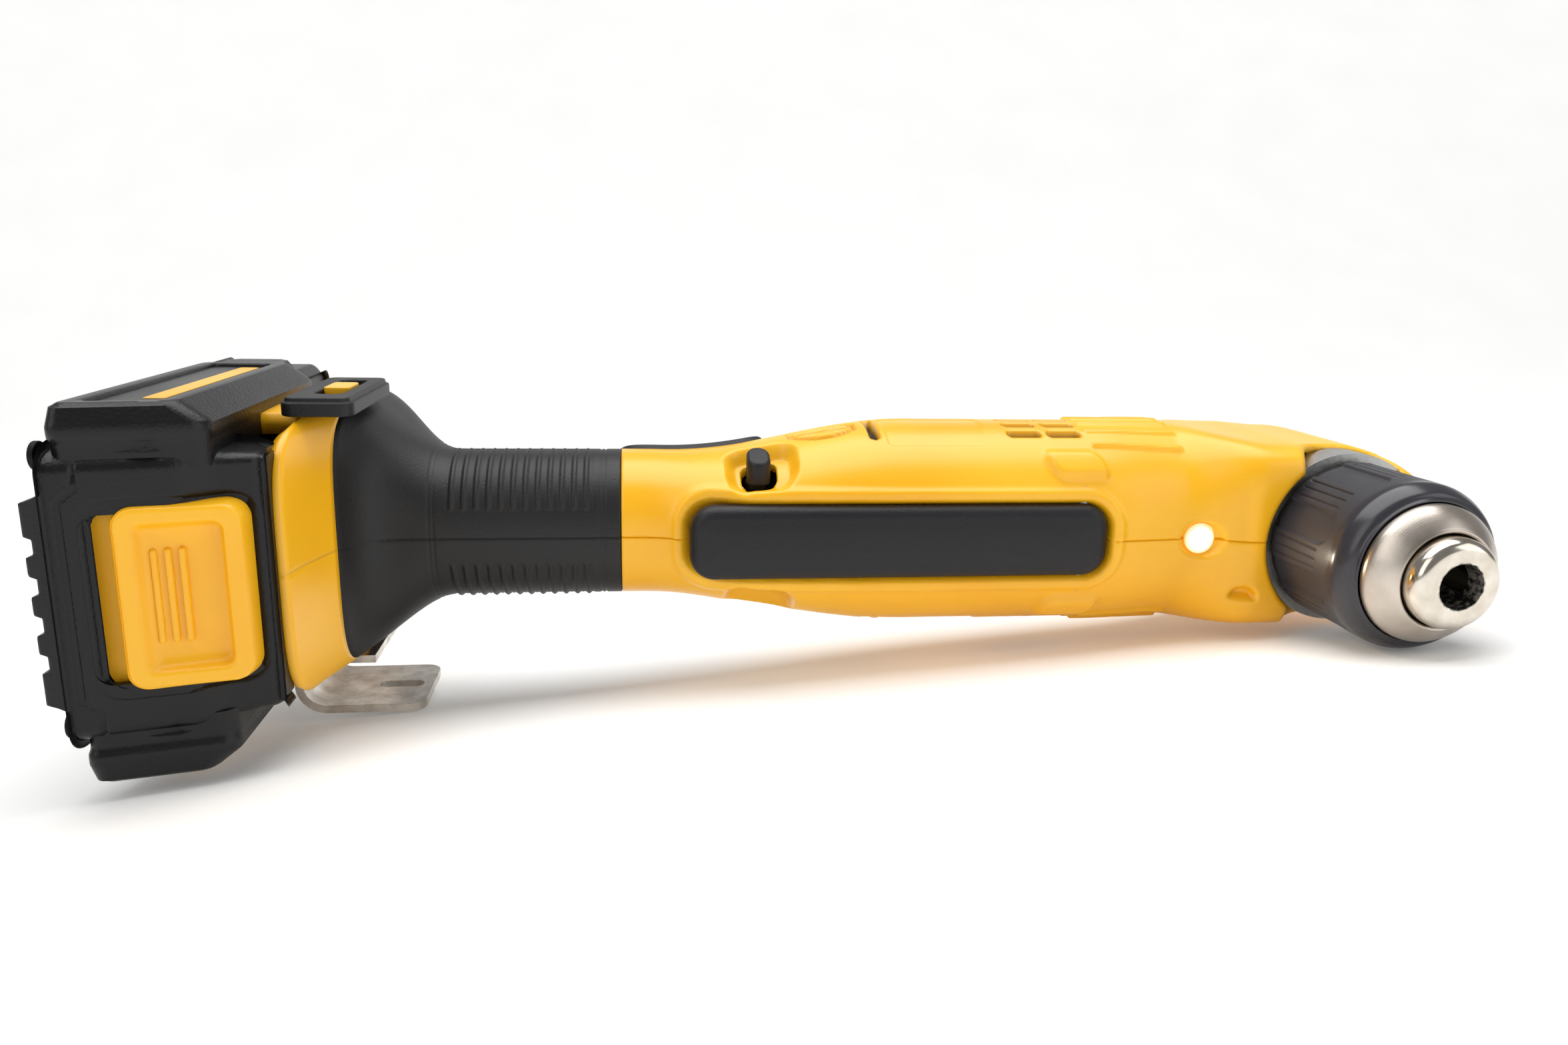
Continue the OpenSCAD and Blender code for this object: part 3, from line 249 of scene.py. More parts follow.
def body_relief(x, y, z, side):
    """How far each point of the body lies under the plain skin, and how strongly it is painted dark for the
    shade in the slots, the louvres and the paddle's pocket.

    Sums the paddle's pocket with its soft lip, the lamp's seat, the button's scoop, the air slots, a plain
    label place, pads, lines, a dimple and the parting line.
    """
    sink = np.zeros_like(x)
    hole = np.zeros_like(x)
    front = y < -8.0
    pocket = to_box(x + 114.5, z, 52.2, 9.6, 6.5)
    lip = 0.9 * within(np.abs(pocket - 2.2) - 0.6, 2.6)
    sink += np.where(front, 6.0 * within(pocket, 1.4) - lip, 0.0)
    # Painted shade: the pocket's floor, hidden by the paddle, is painted dark
    hole = np.maximum(hole, np.where(front, within(pocket + 1.6, 1.0), 0.0))
    light = np.hypot((x + 38.0) / 1.15, z)
    sink += np.where(front, 1.8 * within(light - 4.4, 1.2), 0.0)
    high = np.abs(z) > 9.0
    scoop = to_box(x + 148.4, y + 14.7, 7.9, 6.7, 4.4)
    sink += np.where(high, 3.9 * within(scoop, 3.0), 0.0)
    # Two slots curved like an eye over the motor's brushes, a straight slot, and slots over the fan
    eye_x, eye_y = x + 132.0, y + 3.0
    arch = 5.0 * (1.0 - (eye_x / 10.5) ** 2)
    arcs = np.minimum(np.abs(eye_y + arch) - 1.1, np.abs(eye_y - arch) - 1.1)
    arcs = np.minimum(arcs, np.abs(eye_y) - 1.0)
    arcs = np.maximum(arcs, np.abs(eye_x) - 8.6)
    slots = to_box(x + 119.8, y + 4.5, 1.2, 7.5, 1.1)
    for k in range(3):
        fan = to_box(np.abs(x + 76.0) - 5.2, y - 0.4 + 5.4 * k, 4.3, 1.25, 1.1)
        slots = np.minimum(slots, fan)
    louvres = np.where(high, within(arcs, 0.8), 0.0)
    opened = np.where(high, within(slots, 0.6), 0.0)
    sink += 1.5 * louvres + 2.6 * opened
    # Painted shade: the slots are painted dark, and the louvres' grooves a little, for the shade inside them
    hole = np.maximum(hole, np.maximum(opened, 0.3 * louvres))
    label = to_box(x + 104.0, y + 6.0, 13.0, 9.0, 1.6)
    sink += np.where(high, 0.28 * within(label, 0.5), 0.0)
    # A rounded pad on each shoulder, and five raised lines over the gears
    pad = to_box(x + 70.5 + 0.5 * (np.abs(z) - 17.8), np.abs(z) - 17.8, 7.0, 2.7, 2.4)
    sink -= np.where(y < -10.0, 1.9 * within(pad, 2.4), 0.0)
    pitch, line_y = 5.4, y + 4.0
    lines = np.abs(line_y - pitch * np.round(np.clip(line_y / pitch, -2, 2))) - 0.5
    lines = np.maximum(lines, np.abs(x + 53.0) - 12.0)
    sink -= np.where(high, 0.8 * within(lines, 0.7), 0.0)
    if side < 0:
        dimple = np.hypot(x + 27.0, (z + 14.5) / 0.85)
        sink += np.where(front, 2.6 * within(np.maximum(dimple - 3.0, -14.8 - z), 1.6), 0.0)
    # The parting line
    sink += 0.3 * within(np.abs(z) - 0.12, 0.3)
    return sink, hole


def onto(u, v, distance):
    """Moves points onto an outline, along the way that the distance to it grows."""
    d, near = distance(u, v), 0.01
    along_u = (distance(u + near, v) - distance(u - near, v)) / (2 * near)
    along_v = (distance(u, v + near) - distance(u, v - near)) / (2 * near)
    return u - d * along_u, v - d * along_v


def bar_hole(x, y):
    """Distance to the hole that the direction button stands in, seen from above."""
    return to_box(x + 149.4, y + 15.4, 4.5, 5.8, 3.7)


def thicken(piece, thickness, rim_only=False):
    """Gives a thin piece a wall on its inner side, or only the rim of that wall along its edges."""
    wall = piece.modifiers.new("wall", "SOLIDIFY")
    wall.thickness, wall.offset, wall.use_rim_only = thickness, -1.0, rim_only


def housing_shell(name, side):
    """One half of the skin, less its relief, from the rubber to the round end of the head.

    It is cut at the collar's mouth, at a scallop in the collar's side and at the direction button.
    """
    mouth_r, scallop_r, scallop = 22.3, 14.5, np.array([0.0, -30.5])
    x = spaced([(-182.0, 0.7), (-162.0, 0.4), (-60.0, 0.6), (-28.0, 0.5), (0.0, 0.5)])
    x = np.concatenate([x, 25.9995 * np.sin(np.linspace(0, np.pi / 2, 52)[1:])])
    a = np.linspace(0.0, np.pi, 150)
    x, a = np.meshgrid(x, a, indexing="ij")
    y, z = skin(x, a)
    n = outward(x, y, z)
    n = np.where((n * np.stack([0 * x, y, z], -1)).sum(-1, keepdims=True) < 0, -n, n)
    sink, hole = body_relief(x, y, z * side, side)
    # Take out the faces in each opening, and bring the points along each cut onto its outline
    faces = quads(*x.shape)
    mid_x, mid_y, mid_z = (v.reshape(-1)[faces].mean(1) for v in (x, y, z))
    in_mouth = (np.hypot(mid_x, mid_z) < mouth_r) & (mid_y < -20.0)
    in_scallop = (np.hypot(mid_x, mid_y - scallop[1]) < scallop_r) & (mid_z > 7.5)
    in_bar = (bar_hole(mid_x, mid_y) < 0.0) & (mid_z > 8.0)
    kept = faces[~(in_mouth | in_scallop | in_bar)]
    flat = np.stack([x, y, z], -1).reshape(-1, 3)
    line = np.intersect1d(kept, faces[in_mouth])
    flat[line, ::2] *= mouth_r / np.linalg.norm(flat[line, ::2], axis=1, keepdims=True)
    line = np.intersect1d(kept, faces[in_scallop & ~in_mouth])
    spoke = flat[line, :2] - scallop
    flat[line, :2] = spoke * scallop_r / np.linalg.norm(spoke, axis=1, keepdims=True) + scallop
    line = np.intersect1d(kept, faces[in_bar])
    flat[line, 0], flat[line, 1] = onto(flat[line, 0], flat[line, 1], bar_hole)
    faces = kept
    x, y, z = flat.reshape(x.shape + (3,)).transpose(2, 0, 1)
    # The edges of the mouth and the scallop are rolled over
    from_mouth = np.where(y < -18.0, np.hypot(x, z) - mouth_r, 9.0)
    from_scallop = np.where(z > 7.0, np.hypot(x, y - scallop[1]) - scallop_r, 9.0)
    roll = np.clip(np.minimum(from_mouth, from_scallop), 0.0, 1.4) / 1.4
    sink = sink + 0.9 * (1.0 - roll) ** 2
    p = np.stack([x, y, z], -1) - n * sink[..., None]
    if side < 0:
        faces = faces[:, ::-1]
    points = to_frame(p[..., 0], p[..., 1], side * p[..., 2]).reshape(-1, 3)
    # Only the points that a face still uses are kept
    used = np.unique(faces)
    again = np.zeros(len(points), int)
    again[used] = np.arange(len(used))
    made = put_mesh(name, points[used], again[faces])
    # The painted shade of each point goes to the material in this attribute
    opening = made.data.attributes.new("opening", "FLOAT", "POINT")
    opening.data.foreach_set("value", hole.reshape(-1)[used].astype(np.float32))
    thicken(made, 0.0022, True)
    return made


# Satin moulded nylon: an even warm yellow that goes slightly deeper in patches, with a fine grain.
# The grain is really about 0.15 mm and is drawn at 0.45 mm, so that it shows in the picture.
yellow_nylon, tree, shader, where = new_material("yellow_moulded_nylon")
patches = add(tree, "TexNoise", {}, {"Vector": where, "Scale": 22.0, "Detail": 4.0})
tint = add(tree, "ValToRGB", {}, {"Fac": patches.outputs["Fac"]})
tint.color_ramp.elements[0].position, tint.color_ramp.elements[1].position = 0.3, 0.75
tint.color_ramp.elements[0].color = linear("#f3ae0e")
tint.color_ramp.elements[1].color = linear("#fbc020")
# Painted shade: where the attribute marks it, the yellow is mixed towards dark brown, for the shade in
# openings and recesses
painted_shade_mark = add(tree, "Attribute", {"attribute_name": "opening"}, {})
tint_with_painted_shade = add(tree, "MixRGB", {},
           {"Fac": painted_shade_mark.outputs["Fac"], "Color1": tint.outputs["Color"], "Color2": linear("#1a1204")})
grain = add(tree, "TexNoise", {}, {"Vector": where, "Scale": 2200.0, "Detail": 2.0})
polish = add(tree, "MapRange", {}, {"Value": patches.outputs["Fac"], "To Min": 0.26, "To Max": 0.4})
relief = add(tree, "Bump", {}, {"Height": grain.outputs["Fac"], "Strength": 0.12, "Distance": 0.0002})
feed(tree, shader, {"Base Color": tint_with_painted_shade.outputs["Color"], "Roughness": polish.outputs["Result"],
                    "Normal": relief.outputs["Normal"], "IOR": 1.53})

for part, side in (("upper", 1), ("lower", -1)):
    shell = housing_shell("housing_shell_" + part, side)
    shell.data.materials.append(yellow_nylon)
    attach(shell, "tool")
    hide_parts("housing_" + part)
    # The foot's band under the rubber, and the skirt that holds the pack's rails
    bx, ba = np.meshgrid(np.linspace(-250.0, -244.6, 12), np.linspace(0.0, np.pi, 120), indexing="ij")
    by, bz = skin(bx, ba)
    band = put_mesh("foot_band_" + part, to_frame(bx, by, side * bz), quads(*bx.shape)[:, ::side])
    sx, sa = np.meshgrid(np.linspace(-262.5, -249.9, 10), np.linspace(0.0, 2.2, 120), indexing="ij")
    sy, sz = skin(np.full_like(sx, -250.0), sa)
    sy = np.maximum(sy, -43.2)
    skirt = put_mesh("foot_skirt_" + part, to_frame(sx, sy, side * sz), quads(*sx.shape)[:, ::side])
    for piece, thick in ((band, 0.0025), (skirt, 0.0045)):
        thicken(piece, thick)
        piece.data.materials.append(yellow_nylon)
        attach(piece, "tool")


# Grip
# Black soft elastomer moulded over the handle and flared over the battery foot, parted with the housing.
# Thin rounded ribs give hold at the front of the handle, between two fine lines round each end.
def grip_relief(x, y, z):
    """Depth of the relief: twelve ribs across each side of the front, and a double line at each end."""
    turn_at = np.degrees(np.arctan2(np.abs(z), -y))
    pitch, first = 2.84, -221.6
    from_rib = np.abs(x - (first + pitch * np.round(np.clip((x - first) / pitch, 0, 11))))
    reach = (np.abs(turn_at - 58.0) - 36.0) * 0.3
    sink = -0.45 * within(np.maximum(from_rib - 0.35, reach), 0.8)
    sink += 0.25 * within(np.maximum(np.abs(from_rib - 1.0) - 0.2, reach), 0.6)
    for line in (-226.6, -225.6, -187.0, -186.0):
        sink = sink + 0.35 * within(np.abs(x - line) - 0.15, 0.4)
    return sink + 0.25 * within(np.abs(z) - 0.1, 0.3)


def grip_shell(name, side):
    """The skin over the handle with its grooves, turned in at both ends to the housing under it."""
    x = spaced([(-244.6, 0.8), (-239.0, 0.35), (-185.0, 0.4), (-182.3, 0.4)])
    x = np.concatenate([[-244.9, -244.9], x, [-182.05, -182.05]])
    a = np.linspace(0.0, np.pi, 150)
    x, a = np.meshgrid(x, a, indexing="ij")
    inset = np.zeros_like(x)
    inset[[0, -1]] = 2.0
    inset[[1, -2]] = 0.45
    y, z = skin(x, a, inset)
    y0, z0 = skin(np.clip(x, -244.0, -183.0) + 1e-3 * np.arange(len(x))[:, None], a)
    n = np.stack([0 * x, y0 - (y0.max(1, keepdims=True) + y0.min(1, keepdims=True)) / 2, z0], -1)
    n /= np.linalg.norm(n, axis=-1, keepdims=True)
    p = np.stack([x, y, z], -1) - n * grip_relief(x, y, z)[..., None]
    return put_mesh(name, to_frame(p[..., 0], p[..., 1], side * p[..., 2]), quads(*x.shape)[:, ::side])


def noise_material(name, dark, light, patch, rough, grain, bump, metal=0.0, specular=0.5):
    """A material whose tone and roughness wander with one noise, patch, and whose relief is another, grain.

    patch and grain are a scale and a detail, rough is two ends, and bump is a strength and a height.
    """
    made, tree, shader, where = new_material(name)
    wander = add(tree, "TexNoise", {}, {"Vector": where, "Scale": patch[0], "Detail": patch[1]})
    tone = add(tree, "ValToRGB", {}, {"Fac": wander.outputs["Fac"]})
    tone.color_ramp.elements[0].color = linear(dark)
    tone.color_ramp.elements[1].color = linear(light)
    low, high = rough
    spread = add(tree, "MapRange", {}, {"Value": wander.outputs["Fac"], "To Min": low, "To Max": high})
    fine = add(tree, "TexNoise", {}, {"Vector": where, "Scale": grain[0], "Detail": grain[1]})
    relief = add(tree, "Bump", {}, {"Height": fine.outputs["Fac"], "Strength": bump[0], "Distance": bump[1]})
    feed(tree, shader, {"Base Color": tone.outputs["Color"], "Roughness": spread.outputs["Result"],
                        "Normal": relief.outputs["Normal"], "Metallic": metal,
                        "Specular IOR Level": specular})
    return made


# Moulded elastomer: near black and matt, with a spark-eroded grain of about 0.4 mm.
soft_grip = noise_material("black_moulded_elastomer", "#0d0d0f", "#171719", (60.0, 5.0), (0.42, 0.58),
                           (2400.0, 1.0), (0.25, 0.0003), specular=0.42)

for part, side in (("upper", 1), ("lower", -1)):
    sleeve = grip_shell("grip_sleeve_" + part, side)
    sleeve.data.materials.append(soft_grip)
    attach(sleeve, "tool")
    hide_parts("grip_" + part)
    # A tongue of the same rubber that runs on along the back of the body, a millimetre thick
    tx, ta = np.meshgrid(np.linspace(-183.4, -145.0, 70), np.linspace(0.0, 1.42, 60), indexing="ij")
    ty, tz = skin(tx, ta)
    edge = -to_box(tx + 164.2, 20.5 * ta, 19.0, 28.6, 9.0)
    lift = 1.5 * np.sqrt(1.0 - (1.0 - np.clip(edge / 1.3, 0.0, 1.0)) ** 2) - 0.4
    lifted = to_frame(tx, ty + lift * np.cos(ta), side * (tz + lift * np.sin(ta)))
    tongue = put_mesh("grip_tongue_" + part, lifted, quads(*tx.shape)[:, ::side])
    tongue.data.materials.append(soft_grip)
    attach(tongue, "tool")


# Paddle
# A long hollow trigger of black glass-filled nylon, moulded with a crowned face and rounded edges.
# It swings on a steel pin at its end nearest the head.
def round_trip(corners, per_corner, per_edge):
    """Points round four corners, each a centre and a radius: a quarter circle at each, and lines between."""
    turns = np.linspace(0.0, np.pi / 2, per_corner)
    arcs = [np.stack([u + r * np.cos(turns + k * np.pi / 2), v + r * np.sin(turns + k * np.pi / 2)], -1)
            for k, (u, v, r) in enumerate(corners)]
    whole = []
    for k, count in enumerate(per_edge):
        p, q = arcs[k][-1], arcs[(k + 1) % 4][0]
        whole += [arcs[k], p + (q - p) * np.linspace(0, 1, count + 2)[1:-1, None]]
    return np.concatenate(whole)


def loop(a, b, r, per_corner=10, per_edge=6):
    """Points round a rectangle of half sizes a and b with corner radius r, as many for every size."""
    u, v = a - r, b - r
    return round_trip([(u, v, r), (-u, v, r), (-u, -v, r), (u, -v, r)], per_corner, 4 * [per_edge])


def slab(name, rings, place):
    """A closed pad from rows of loops: each row is a loop and its height, one or one for each point.

    place turns u, v and the height h into x, y and z.
    """
    grid = np.stack([np.column_stack([ring, np.broadcast_to(h, len(ring))]) for ring, h in rings])
    rows, columns = grid.shape[:2]
    points = to_frame(*place(grid[..., 0], grid[..., 1], grid[..., 2])).reshape(-1, 3)
    top, bottom = list(range((rows - 1) * columns, rows * columns)), list(range(columns))[::-1]
    made = put_mesh(name, points, quads(rows, columns, True).tolist() + [top, bottom])
    # A turned place can put the pad inside out, so its faces are compared with the way out from its middle
    mesh = made.data
    centre, normal, area = (np.empty(size * len(mesh.polygons), np.float32) for size in (3, 3, 1))
    mesh.polygons.foreach_get("center", centre)
    mesh.polygons.foreach_get("normal", normal)
    mesh.polygons.foreach_get("area", area)
    way_out = centre.reshape(-1, 3) - points.mean(0)
    if (normal.reshape(-1, 3) * area[:, None] * way_out).sum() < 0:
        mesh.flip_normals()
    mesh.set_sharp_from_angle(angle=math.radians(38.0))
    return made


def rounded(a, b, r, base, top, edge):
    """Rows for a pad of half sizes a and b from height base to top, with its upper edge rounded."""
    rows = [(loop(a, b, r), base), (loop(a, b, r), top - edge)]
    for t in np.linspace(0, np.pi / 2, 7)[1:]:
        i = edge * (1 - math.cos(t))
        rows.append((loop(a - i, b - i, max(r - i, 0.05)), top - edge + edge * math.sin(t)))
    return rows


# Inset, height and corner radius of each row: from the floor of the hollow back, out over its lip,
# up the sides and in over the crowned face
paddle_a, paddle_b, paddle_r = 51.5, 9.0, 6.0
insets = [(4.0, 3.1, 2.5), (2.3, 3.0, 3.8), (2.0, 0.2, 4.0), (1.8, 0.0, 4.2),
          (0.0, 0.0, paddle_r), (0.0, 1.6, paddle_r)]
for t in np.linspace(0, np.pi / 2, 10)[1:]:
    i = 3.4 * (1 - math.cos(t))
    insets.append((i, 1.6 + 2.9 * math.sin(t), paddle_r - i))
insets += [(4.6, 4.72, 1.4), (6.2, 4.9, 0.4), (8.0, 5.0, 0.4)]
rows = [(loop(paddle_a - i, paddle_b - i, r, 14, 30), h) for i, h, r in insets]
paddle = slab("paddle_moulding", rows, lambda u, v, h: (u - 114.5, -22.0 - h, v))

# Dark moulded nylon with a fine even grain of about 0.4 mm, a little bluish where it catches light.
paddle_nylon = noise_material("dark_grained_nylon", "#0f1013", "#191a1e", (45.0, 4.0), (0.4, 0.52),
                              (2600.0, 2.0), (0.3, 0.0003), specular=0.36)
paddle.data.materials.append(paddle_nylon)
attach(paddle, "paddle")
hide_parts("paddle_trigger")


# Pieces that stay as the frame has them
# Gears, motor, bearings and boards inside, which show only when the tool is taken apart.
# Each gets the finish of its real material: ground steel, copper wire, board lacquer, cell sleeve; the jaws
# are painted nearly black for shade.
def finish_material(name, dark, light, metal, rough, scale, strength):
    """A metal or plastic whose tone, roughness and relief all follow a noise of one scale."""
    noise = (scale, 4.0)
    spread = (rough - 0.06, rough + 0.06)
    return noise_material(name, dark, light, noise, spread, noise, (strength, 0.0002), metal)


ground_steel = finish_material("ground_steel", "#8e9196", "#b4b6b9", 1.0, 0.3, 400.0, 0.05)
sintered_magnet = finish_material("sintered_ferrite", "#2c2d2f", "#3a3b3d", 0.0, 0.6, 700.0, 0.2)
copper_wire = finish_material("enamelled_copper", "#8a4a22", "#b5662f", 1.0, 0.34, 900.0, 0.3)
board_lacquer = finish_material("green_board_lacquer", "#0b3a1c", "#12552a", 0.0, 0.35, 300.0, 0.05)
cell_sleeve = finish_material("blue_shrink_sleeve", "#1f4f86", "#2a66a8", 0.0, 0.3, 120.0, 0.03)
red_cover = finish_material("red_wire_cover", "#8f1512", "#b32019", 0.0, 0.4, 200.0, 0.05)
inner_nylon = finish_material("black_inner_nylon", "#151517", "#242427", 0.0, 0.5, 900.0, 0.1)
# Painted shade: the jaws are painted nearly black for the shade deep in the chuck's mouth
jaw_steel_painted_shade = finish_material("dark_steel_painted_shade", "#0f0c0a", "#262019", 0.4, 0.4, 900.0, 0.2)
inside = {
    ground_steel: ["trigger_pin", "shift_ring", "front_bearing", "rear_bearing", "carrier_bearing", "spindle",
                   "bevel_gear", "chuck_screw", "jaw_nut", "carrier", "bevel_pinion", "planet_1", "planet_2",
                   "planet_3", "ring_gear", "sun_gear", "motor_can", "motor_bearing", "latch_spring"],
    jaw_steel_painted_shade: ["jaw_1", "jaw_2", "jaw_3"],
    sintered_magnet: ["motor_magnets"],
    copper_wire: ["armature", "commutator"],
    board_lacquer: ["light_board", "contact_board"],
    cell_sleeve: ["pack_cells"],
    red_cover: ["motor_leads"],
    inner_nylon: ["switch_body", "switch_plunger", "motor_end_cap", "cooling_fan", "terminal_block"],
}
for material, names in inside.items():
    for name in names:
        nodes[name].data.materials.clear()
        nodes[name].data.materials.append(material)


# Trigger spring
# A compression spring of round steel wire on the switch plunger, which pushes the paddle out.
# Its front end goes in with the plunger and its rear end stays on the switch, so a press shortens it; the
# coil here is drawn at rest and does not move.
low, high = (np.array(corner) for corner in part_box("trigger_spring"))
coil_turns, wire, coil_steps = 5, 0.0005, 120
coil_radius, coil_middle = (high[0] - low[0]) / 2 - wire, (low + high) / 2
along = np.linspace(0, 1, coil_steps + 1)[:, None]
about = np.linspace(0, 2 * np.pi, 10, endpoint=False)[None, :]
# The wire is thick but for its two ends, where it closes to a point
swell = wire * np.clip(np.minimum(along, 1 - along) * coil_steps, 0.02, 1)
reach, wound = coil_radius + swell * np.cos(about), along * coil_turns * 2 * np.pi
coil_points = np.stack([
    coil_middle[0] + reach * np.cos(wound),
    low[1] + wire + along * (high[1] - low[1] - 2 * wire) + swell * np.sin(about),
    coil_middle[2] + reach * np.sin(wound)], -1)
coil = put_mesh("trigger_coil", coil_points, quads(*reach.shape, True))
coil.data.materials.append(ground_steel)
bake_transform(coil)
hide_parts("trigger_spring")


# Gear case and its dust ring
# The gear case is a casting of bare aluminium that shows where the collar is cut away at its sides.
# A dark felt ring lies on its front face and keeps dust from the spindle's bearing.
def softened(name, width, body, material, crease=35.0):
    """A copy of one of the frame's nodes, with its triangles joined, its edges bevelled and its material."""
    mesh = nodes[name].data.copy()
    mesh.transform(nodes[name].matrix_world)
    joined = bmesh.new()
    joined.from_mesh(mesh)
    bmesh.ops.remove_doubles(joined, verts=joined.verts, dist=2e-6)
    bmesh.ops.dissolve_limit(joined, angle_limit=math.radians(0.5), verts=joined.verts, edges=joined.edges)
    joined.to_mesh(mesh)
    joined.free()
    mesh.polygons.foreach_set("use_smooth", np.full(len(mesh.polygons), True))
    mesh.set_sharp_from_angle(angle=math.radians(crease))
    made = bpy.data.objects.new(name + "_finished", mesh)
    bpy.context.scene.collection.objects.link(made)
    if width > 0.0:
        edge = made.modifiers.new("edge", "BEVEL")
        edge.width = width / 1000.0
        edge.segments = 2
        edge.limit_method = "ANGLE"
        edge.angle_limit = math.radians(crease)
        edge.harden_normals = True
    mesh.materials.clear()
    mesh.materials.append(material)
    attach(made, body)
    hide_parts(name)
    return made


cast_alloy = finish_material("cast_aluminium", "#9c9c9b", "#c4c4c2", 1.0, 0.42, 900.0, 0.35)
dust_felt = finish_material("dark_felt", "#1c1b1a", "#3a3632", 0.0, 0.85, 1500.0, 0.8)
softened("gear_case", 0.4, "tool", cast_alloy)
softened("dust_ring", 0.3, "tool", dust_felt)


# Chuck sleeve
# The sleeve that the hand turns, of black nylon with a satin face and a glossy rounded front band.
# Eight raised lands carry three fine lines each, and a panel with round corners lies between two lands.
sleeve_r = 20.0


def turned(name, y, radius, relief, columns):
    """A surface of revolution about the spindle: radius at each y, less a relief by y and the angle."""
    y, about = np.meshgrid(y, np.linspace(0.0, 2 * np.pi, columns, endpoint=False), indexing="ij")
    r = radius[:, None] - relief(y, about)
    return put_mesh(name, to_frame(r * np.cos(about), y, r * np.sin(about)), quads(*r.shape, True)[:, ::-1])


def sleeve_relief(y, about):
    """Depth under the plain sleeve: panels with rounded corners, and three grooves along each land."""
    pitch, spacing = np.pi / 4, 2.3
    from_land = about - pitch * np.round(about / pitch)
    arc = sleeve_r * from_land
    panel = to_box(y + 34.5, sleeve_r * (np.abs(from_land) - pitch / 2), 11.5, 3.9, 2.6)
    depth = 0.7 * within(panel, 0.7)
    line = np.abs(arc - spacing * np.round(np.clip(arc / spacing, -1, 1))) - 0.16
    line = np.maximum(line, np.abs(y + 35.4) - 8.2)
    return np.where(y > -51.0, depth + 0.4 * within(line, 0.32), 0.0)


# The profile from inside the front edge, over the glossy band and the lands, to the hollow back
bend = np.linspace(0.0, np.pi / 2, 9)
crown = spaced([(-54.6, 0.4), (-51.6, 0.4)])
front_y = np.concatenate([[-51.9, -55.2, -55.5], -55.5 + 0.5 * bend / bend[-1], crown])
front_r = np.concatenate([[16.4, 16.4, 16.55], 16.8 + 0.25 * np.sin(bend),
                          17.3 + 2.45 * np.sqrt(np.clip((crown + 54.8) / 3.2, 0, 1))])
mid_y = spaced([(-51.2, 0.4), (-46.6, 0.22), (-44.6, 0.4), (-28.0, 0.25), (-26.3, 0.25)])
mid_r = sleeve_r - 0.15 * np.clip(-50.2 - mid_y, 0.0, 1.0) ** 2
back_y = -26.3 + 0.8 * np.sin(bend)
back_r = sleeve_r - 0.8 + 0.8 * np.cos(bend)
y = np.concatenate([front_y, mid_y, back_y, [-25.5, -27.3, -34.9, -35.0]])
r = np.concatenate([front_r, mid_r, back_r, [17.1, 18.3, 18.3, 16.3]])
sleeve = turned("sleeve_moulding", y, r, sleeve_relief, 720)

# Satin black nylon: a fine grain on the lands and panels, and a polished front band.
# The grain is really about 0.2 mm and is drawn at 0.4 mm, so that it shows in the picture.
satin_nylon, tree, shader, where = new_material("satin_black_nylon")
spread = add(tree, "TexNoise", {}, {"Vector": where, "Scale": 90.0, "Detail": 4.0})
tone = add(tree, "ValToRGB", {}, {"Fac": spread.outputs["Fac"]})
tone.color_ramp.elements[0].color = linear("#29282d")
tone.color_ramp.elements[1].color = linear("#37353b")
parted = add(tree, "SeparateXYZ", {}, {"Vector": where})
band_end = {"Value": parted.outputs["Y"], "From Min": 0.0175, "From Max": 0.0195}
band = add(tree, "MapRange", {}, {**band_end, "To Min": 0.24, "To Max": 0.46})
grain = add(tree, "TexNoise", {}, {"Vector": where, "Scale": 2600.0, "Detail": 2.0})
depth = add(tree, "MapRange", {}, {**band_end, "To Min": 0.02, "To Max": 0.16})
relief = add(tree, "Bump", {},
             {"Height": grain.outputs["Fac"], "Strength": depth.outputs["Result"], "Distance": 0.0003})
feed(tree, shader, {"Base Color": tone.outputs["Color"], "Roughness": band.outputs["Result"],
                    "Normal": relief.outputs["Normal"]})
sleeve.data.materials.append(satin_nylon)
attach(sleeve, "sleeve")
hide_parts("chuck_sleeve")


# Nose cone
# A cone spun from steel sheet and plated with satin nickel, pressed into the front of the sleeve.
# It turns with the sleeve round the bright nose of the chuck's body.
lip, fall = np.linspace(0, 1, 4), np.linspace(0.0, 1.0, 26)
cone_y = np.concatenate([[-59.6, -61.8, -62.2], -62.5 + 0.35 * lip ** 2, -62.1 + 5.2 * fall, [-56.4, -55.6]])
cone_r = np.concatenate([[10.85, 10.85, 11.0], 11.4 + 0.5 * lip, 12.0 + 4.2 * (1.0 - (1.0 - fall) ** 1.45),
                         [16.25, 16.25]])
cone = turned("nose_cone_spun", cone_y, cone_r, lambda y, about: 0.0 * y, 240)

# Satin nickel: a warm grey metal, blasted to an even grain, with fine lines round it from the lathe.
# Grain and lines are really about 0.1 mm and are drawn at 0.3 mm, so that they show in the picture.
satin_nickel, tree, shader, where = new_material("satin_nickel_plate")
parted = add(tree, "SeparateXYZ", {}, {"Vector": where})
lathe = add(tree, "TexNoise", {"noise_dimensions": "1D"},
            {"W": parted.outputs["Y"], "Scale": 3200.0, "Detail": 3.0})
blast = add(tree, "TexNoise", {}, {"Vector": where, "Scale": 3000.0, "Detail": 2.0})
stain = add(tree, "TexNoise", {}, {"Vector": where, "Scale": 120.0, "Detail": 4.0})
tone = add(tree, "ValToRGB", {}, {"Fac": stain.outputs["Fac"]})
tone.color_ramp.elements[0].position, tone.color_ramp.elements[1].position = 0.3, 0.7
tone.color_ramp.elements[0].color = linear("#b3a99e")
tone.color_ramp.elements[1].color = linear("#cdc4ba")
shine = add(tree, "MapRange", {}, {"Value": stain.outputs["Fac"], "To Min": 0.27, "To Max": 0.38})
fine = add(tree, "Math", {"operation": "MULTIPLY_ADD"},
           {0: blast.outputs["Fac"], 1: 0.5, 2: lathe.outputs["Fac"]})
